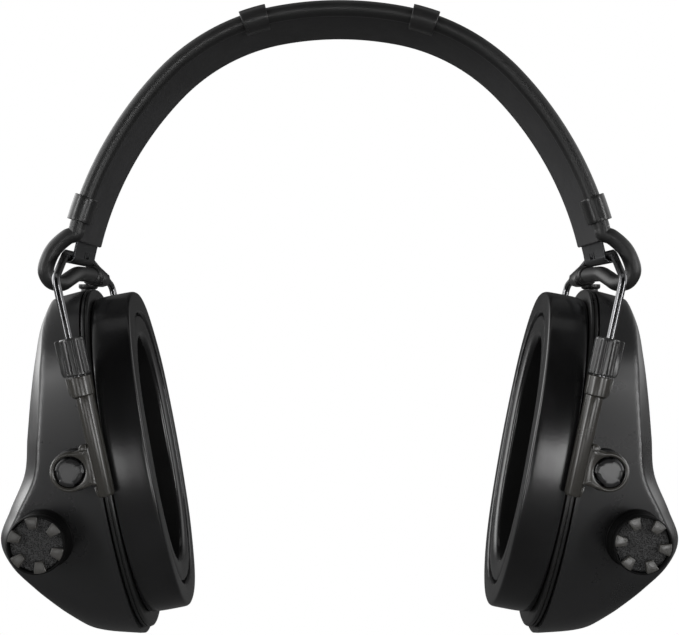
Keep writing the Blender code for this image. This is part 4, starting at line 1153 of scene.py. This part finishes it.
# darker in front and straight behind, bright at the sides and most at the wearer's right, so that edges catch the light
depth = wrange(split.outputs["Y"], -0.75, 0.30, 0.13, 1.0)
sides = wt.nodes.new("ShaderNodeValToRGB")
sides.color_ramp.interpolation = "EASE"
stops = ((0.0, 1.0), (0.17, 1.0), (0.26, 0.28), (0.34, 0.045), (0.43, 0.02), (0.62, 0.02), (0.73, 0.07), (0.85, 0.34), (1.0, 0.50))
sides.color_ramp.elements[0].position, sides.color_ramp.elements[-1].position = 0.0, 1.0
for k, (place, value) in enumerate(stops):
    e = sides.color_ramp.elements[0] if k == 0 else (
        sides.color_ramp.elements[-1] if k == len(stops) - 1 else sides.color_ramp.elements.new(place))
    e.color = (value, value, value, 1)
wt.links.new(wmath("MULTIPLY_ADD", split.outputs["X"], 0.5, 0.5), sides.inputs["Fac"])
above = wrange(split.outputs["Z"], 0.40, 0.95, 1.0, 0.30)
strength = wmath("MULTIPLY", wmath("MULTIPLY", depth, above), wmath("MULTIPLY", sides.outputs["Color"], 3.0))
wt.links.new(strength, lit.inputs["Strength"])
lit.inputs["Color"].default_value = (1, 1, 1, 1)
wt.links.new(path.outputs["Is Camera Ray"], mix.inputs["Fac"])
wt.links.new(lit.outputs[0], mix.inputs[1])
wt.links.new(seen.outputs[0], mix.inputs[2])
wt.links.new(mix.outputs[0], out.inputs["Surface"])


def softbox(name, place, aim, size, power):
    data = bpy.data.lights.new(name, "AREA")
    data.shape, data.size, data.size_y = "RECTANGLE", size[0], size[1]
    data.energy = power
    obj = bpy.data.objects.new(name, data)
    obj.location = place
    obj.rotation_euler = (Vector(aim) - Vector(place)).to_track_quat("-Z", "Y").to_euler()
    scene.collection.objects.link(obj)
    return obj


softbox("window_front_left", (-0.42, -1.30, -0.43), (-0.06, 0, -0.14), (0.42, 0.36), 2.5)
softbox("window_front_right", (0.42, -1.30, -0.28), (0.06, 0, -0.13), (0.48, 0.22), 2.6)
softbox("window_left", (-1.05, -0.72, 0.05), (0, 0, -0.12), (0.16, 0.9), 5.5)
softbox("window_right", (1.05, -0.75, 0.0), (0, 0, -0.12), (0.18, 0.8), 5.5)
softbox("fill_left", (-0.95, -1.10, -0.58), (-0.08, 0, -0.18), (0.50, 0.42), 0.75)
softbox("fill_right", (0.95, -1.10, -0.52), (0.08, 0, -0.17), (0.50, 0.42), 0.75)
softbox("low_front", (0.0, -1.05, -0.72), (0, 0, -0.15), (1.7, 0.40), 8.0)
softbox("top", (0.0, 0.1, 1.1), (0, 0, -0.1), (1.2, 0.9), 1.2)

cam_data = bpy.data.cameras.new("camera")
cam_data.sensor_fit, cam_data.sensor_width = "HORIZONTAL", 36.0
cam_data.lens = 1069.0 / 679.0 * 36.0
cam_data.clip_start, cam_data.clip_end = 0.01, 60.0
camera = bpy.data.objects.new("camera", cam_data)
camera.location = (0.0, -0.354, -DATUM_Z * MM)
camera.rotation_euler = (math.pi / 2, 0, 0)
scene.collection.objects.link(camera)
scene.camera = camera
scene.view_settings.view_transform = "Standard"

bpy.context.view_layer.update()
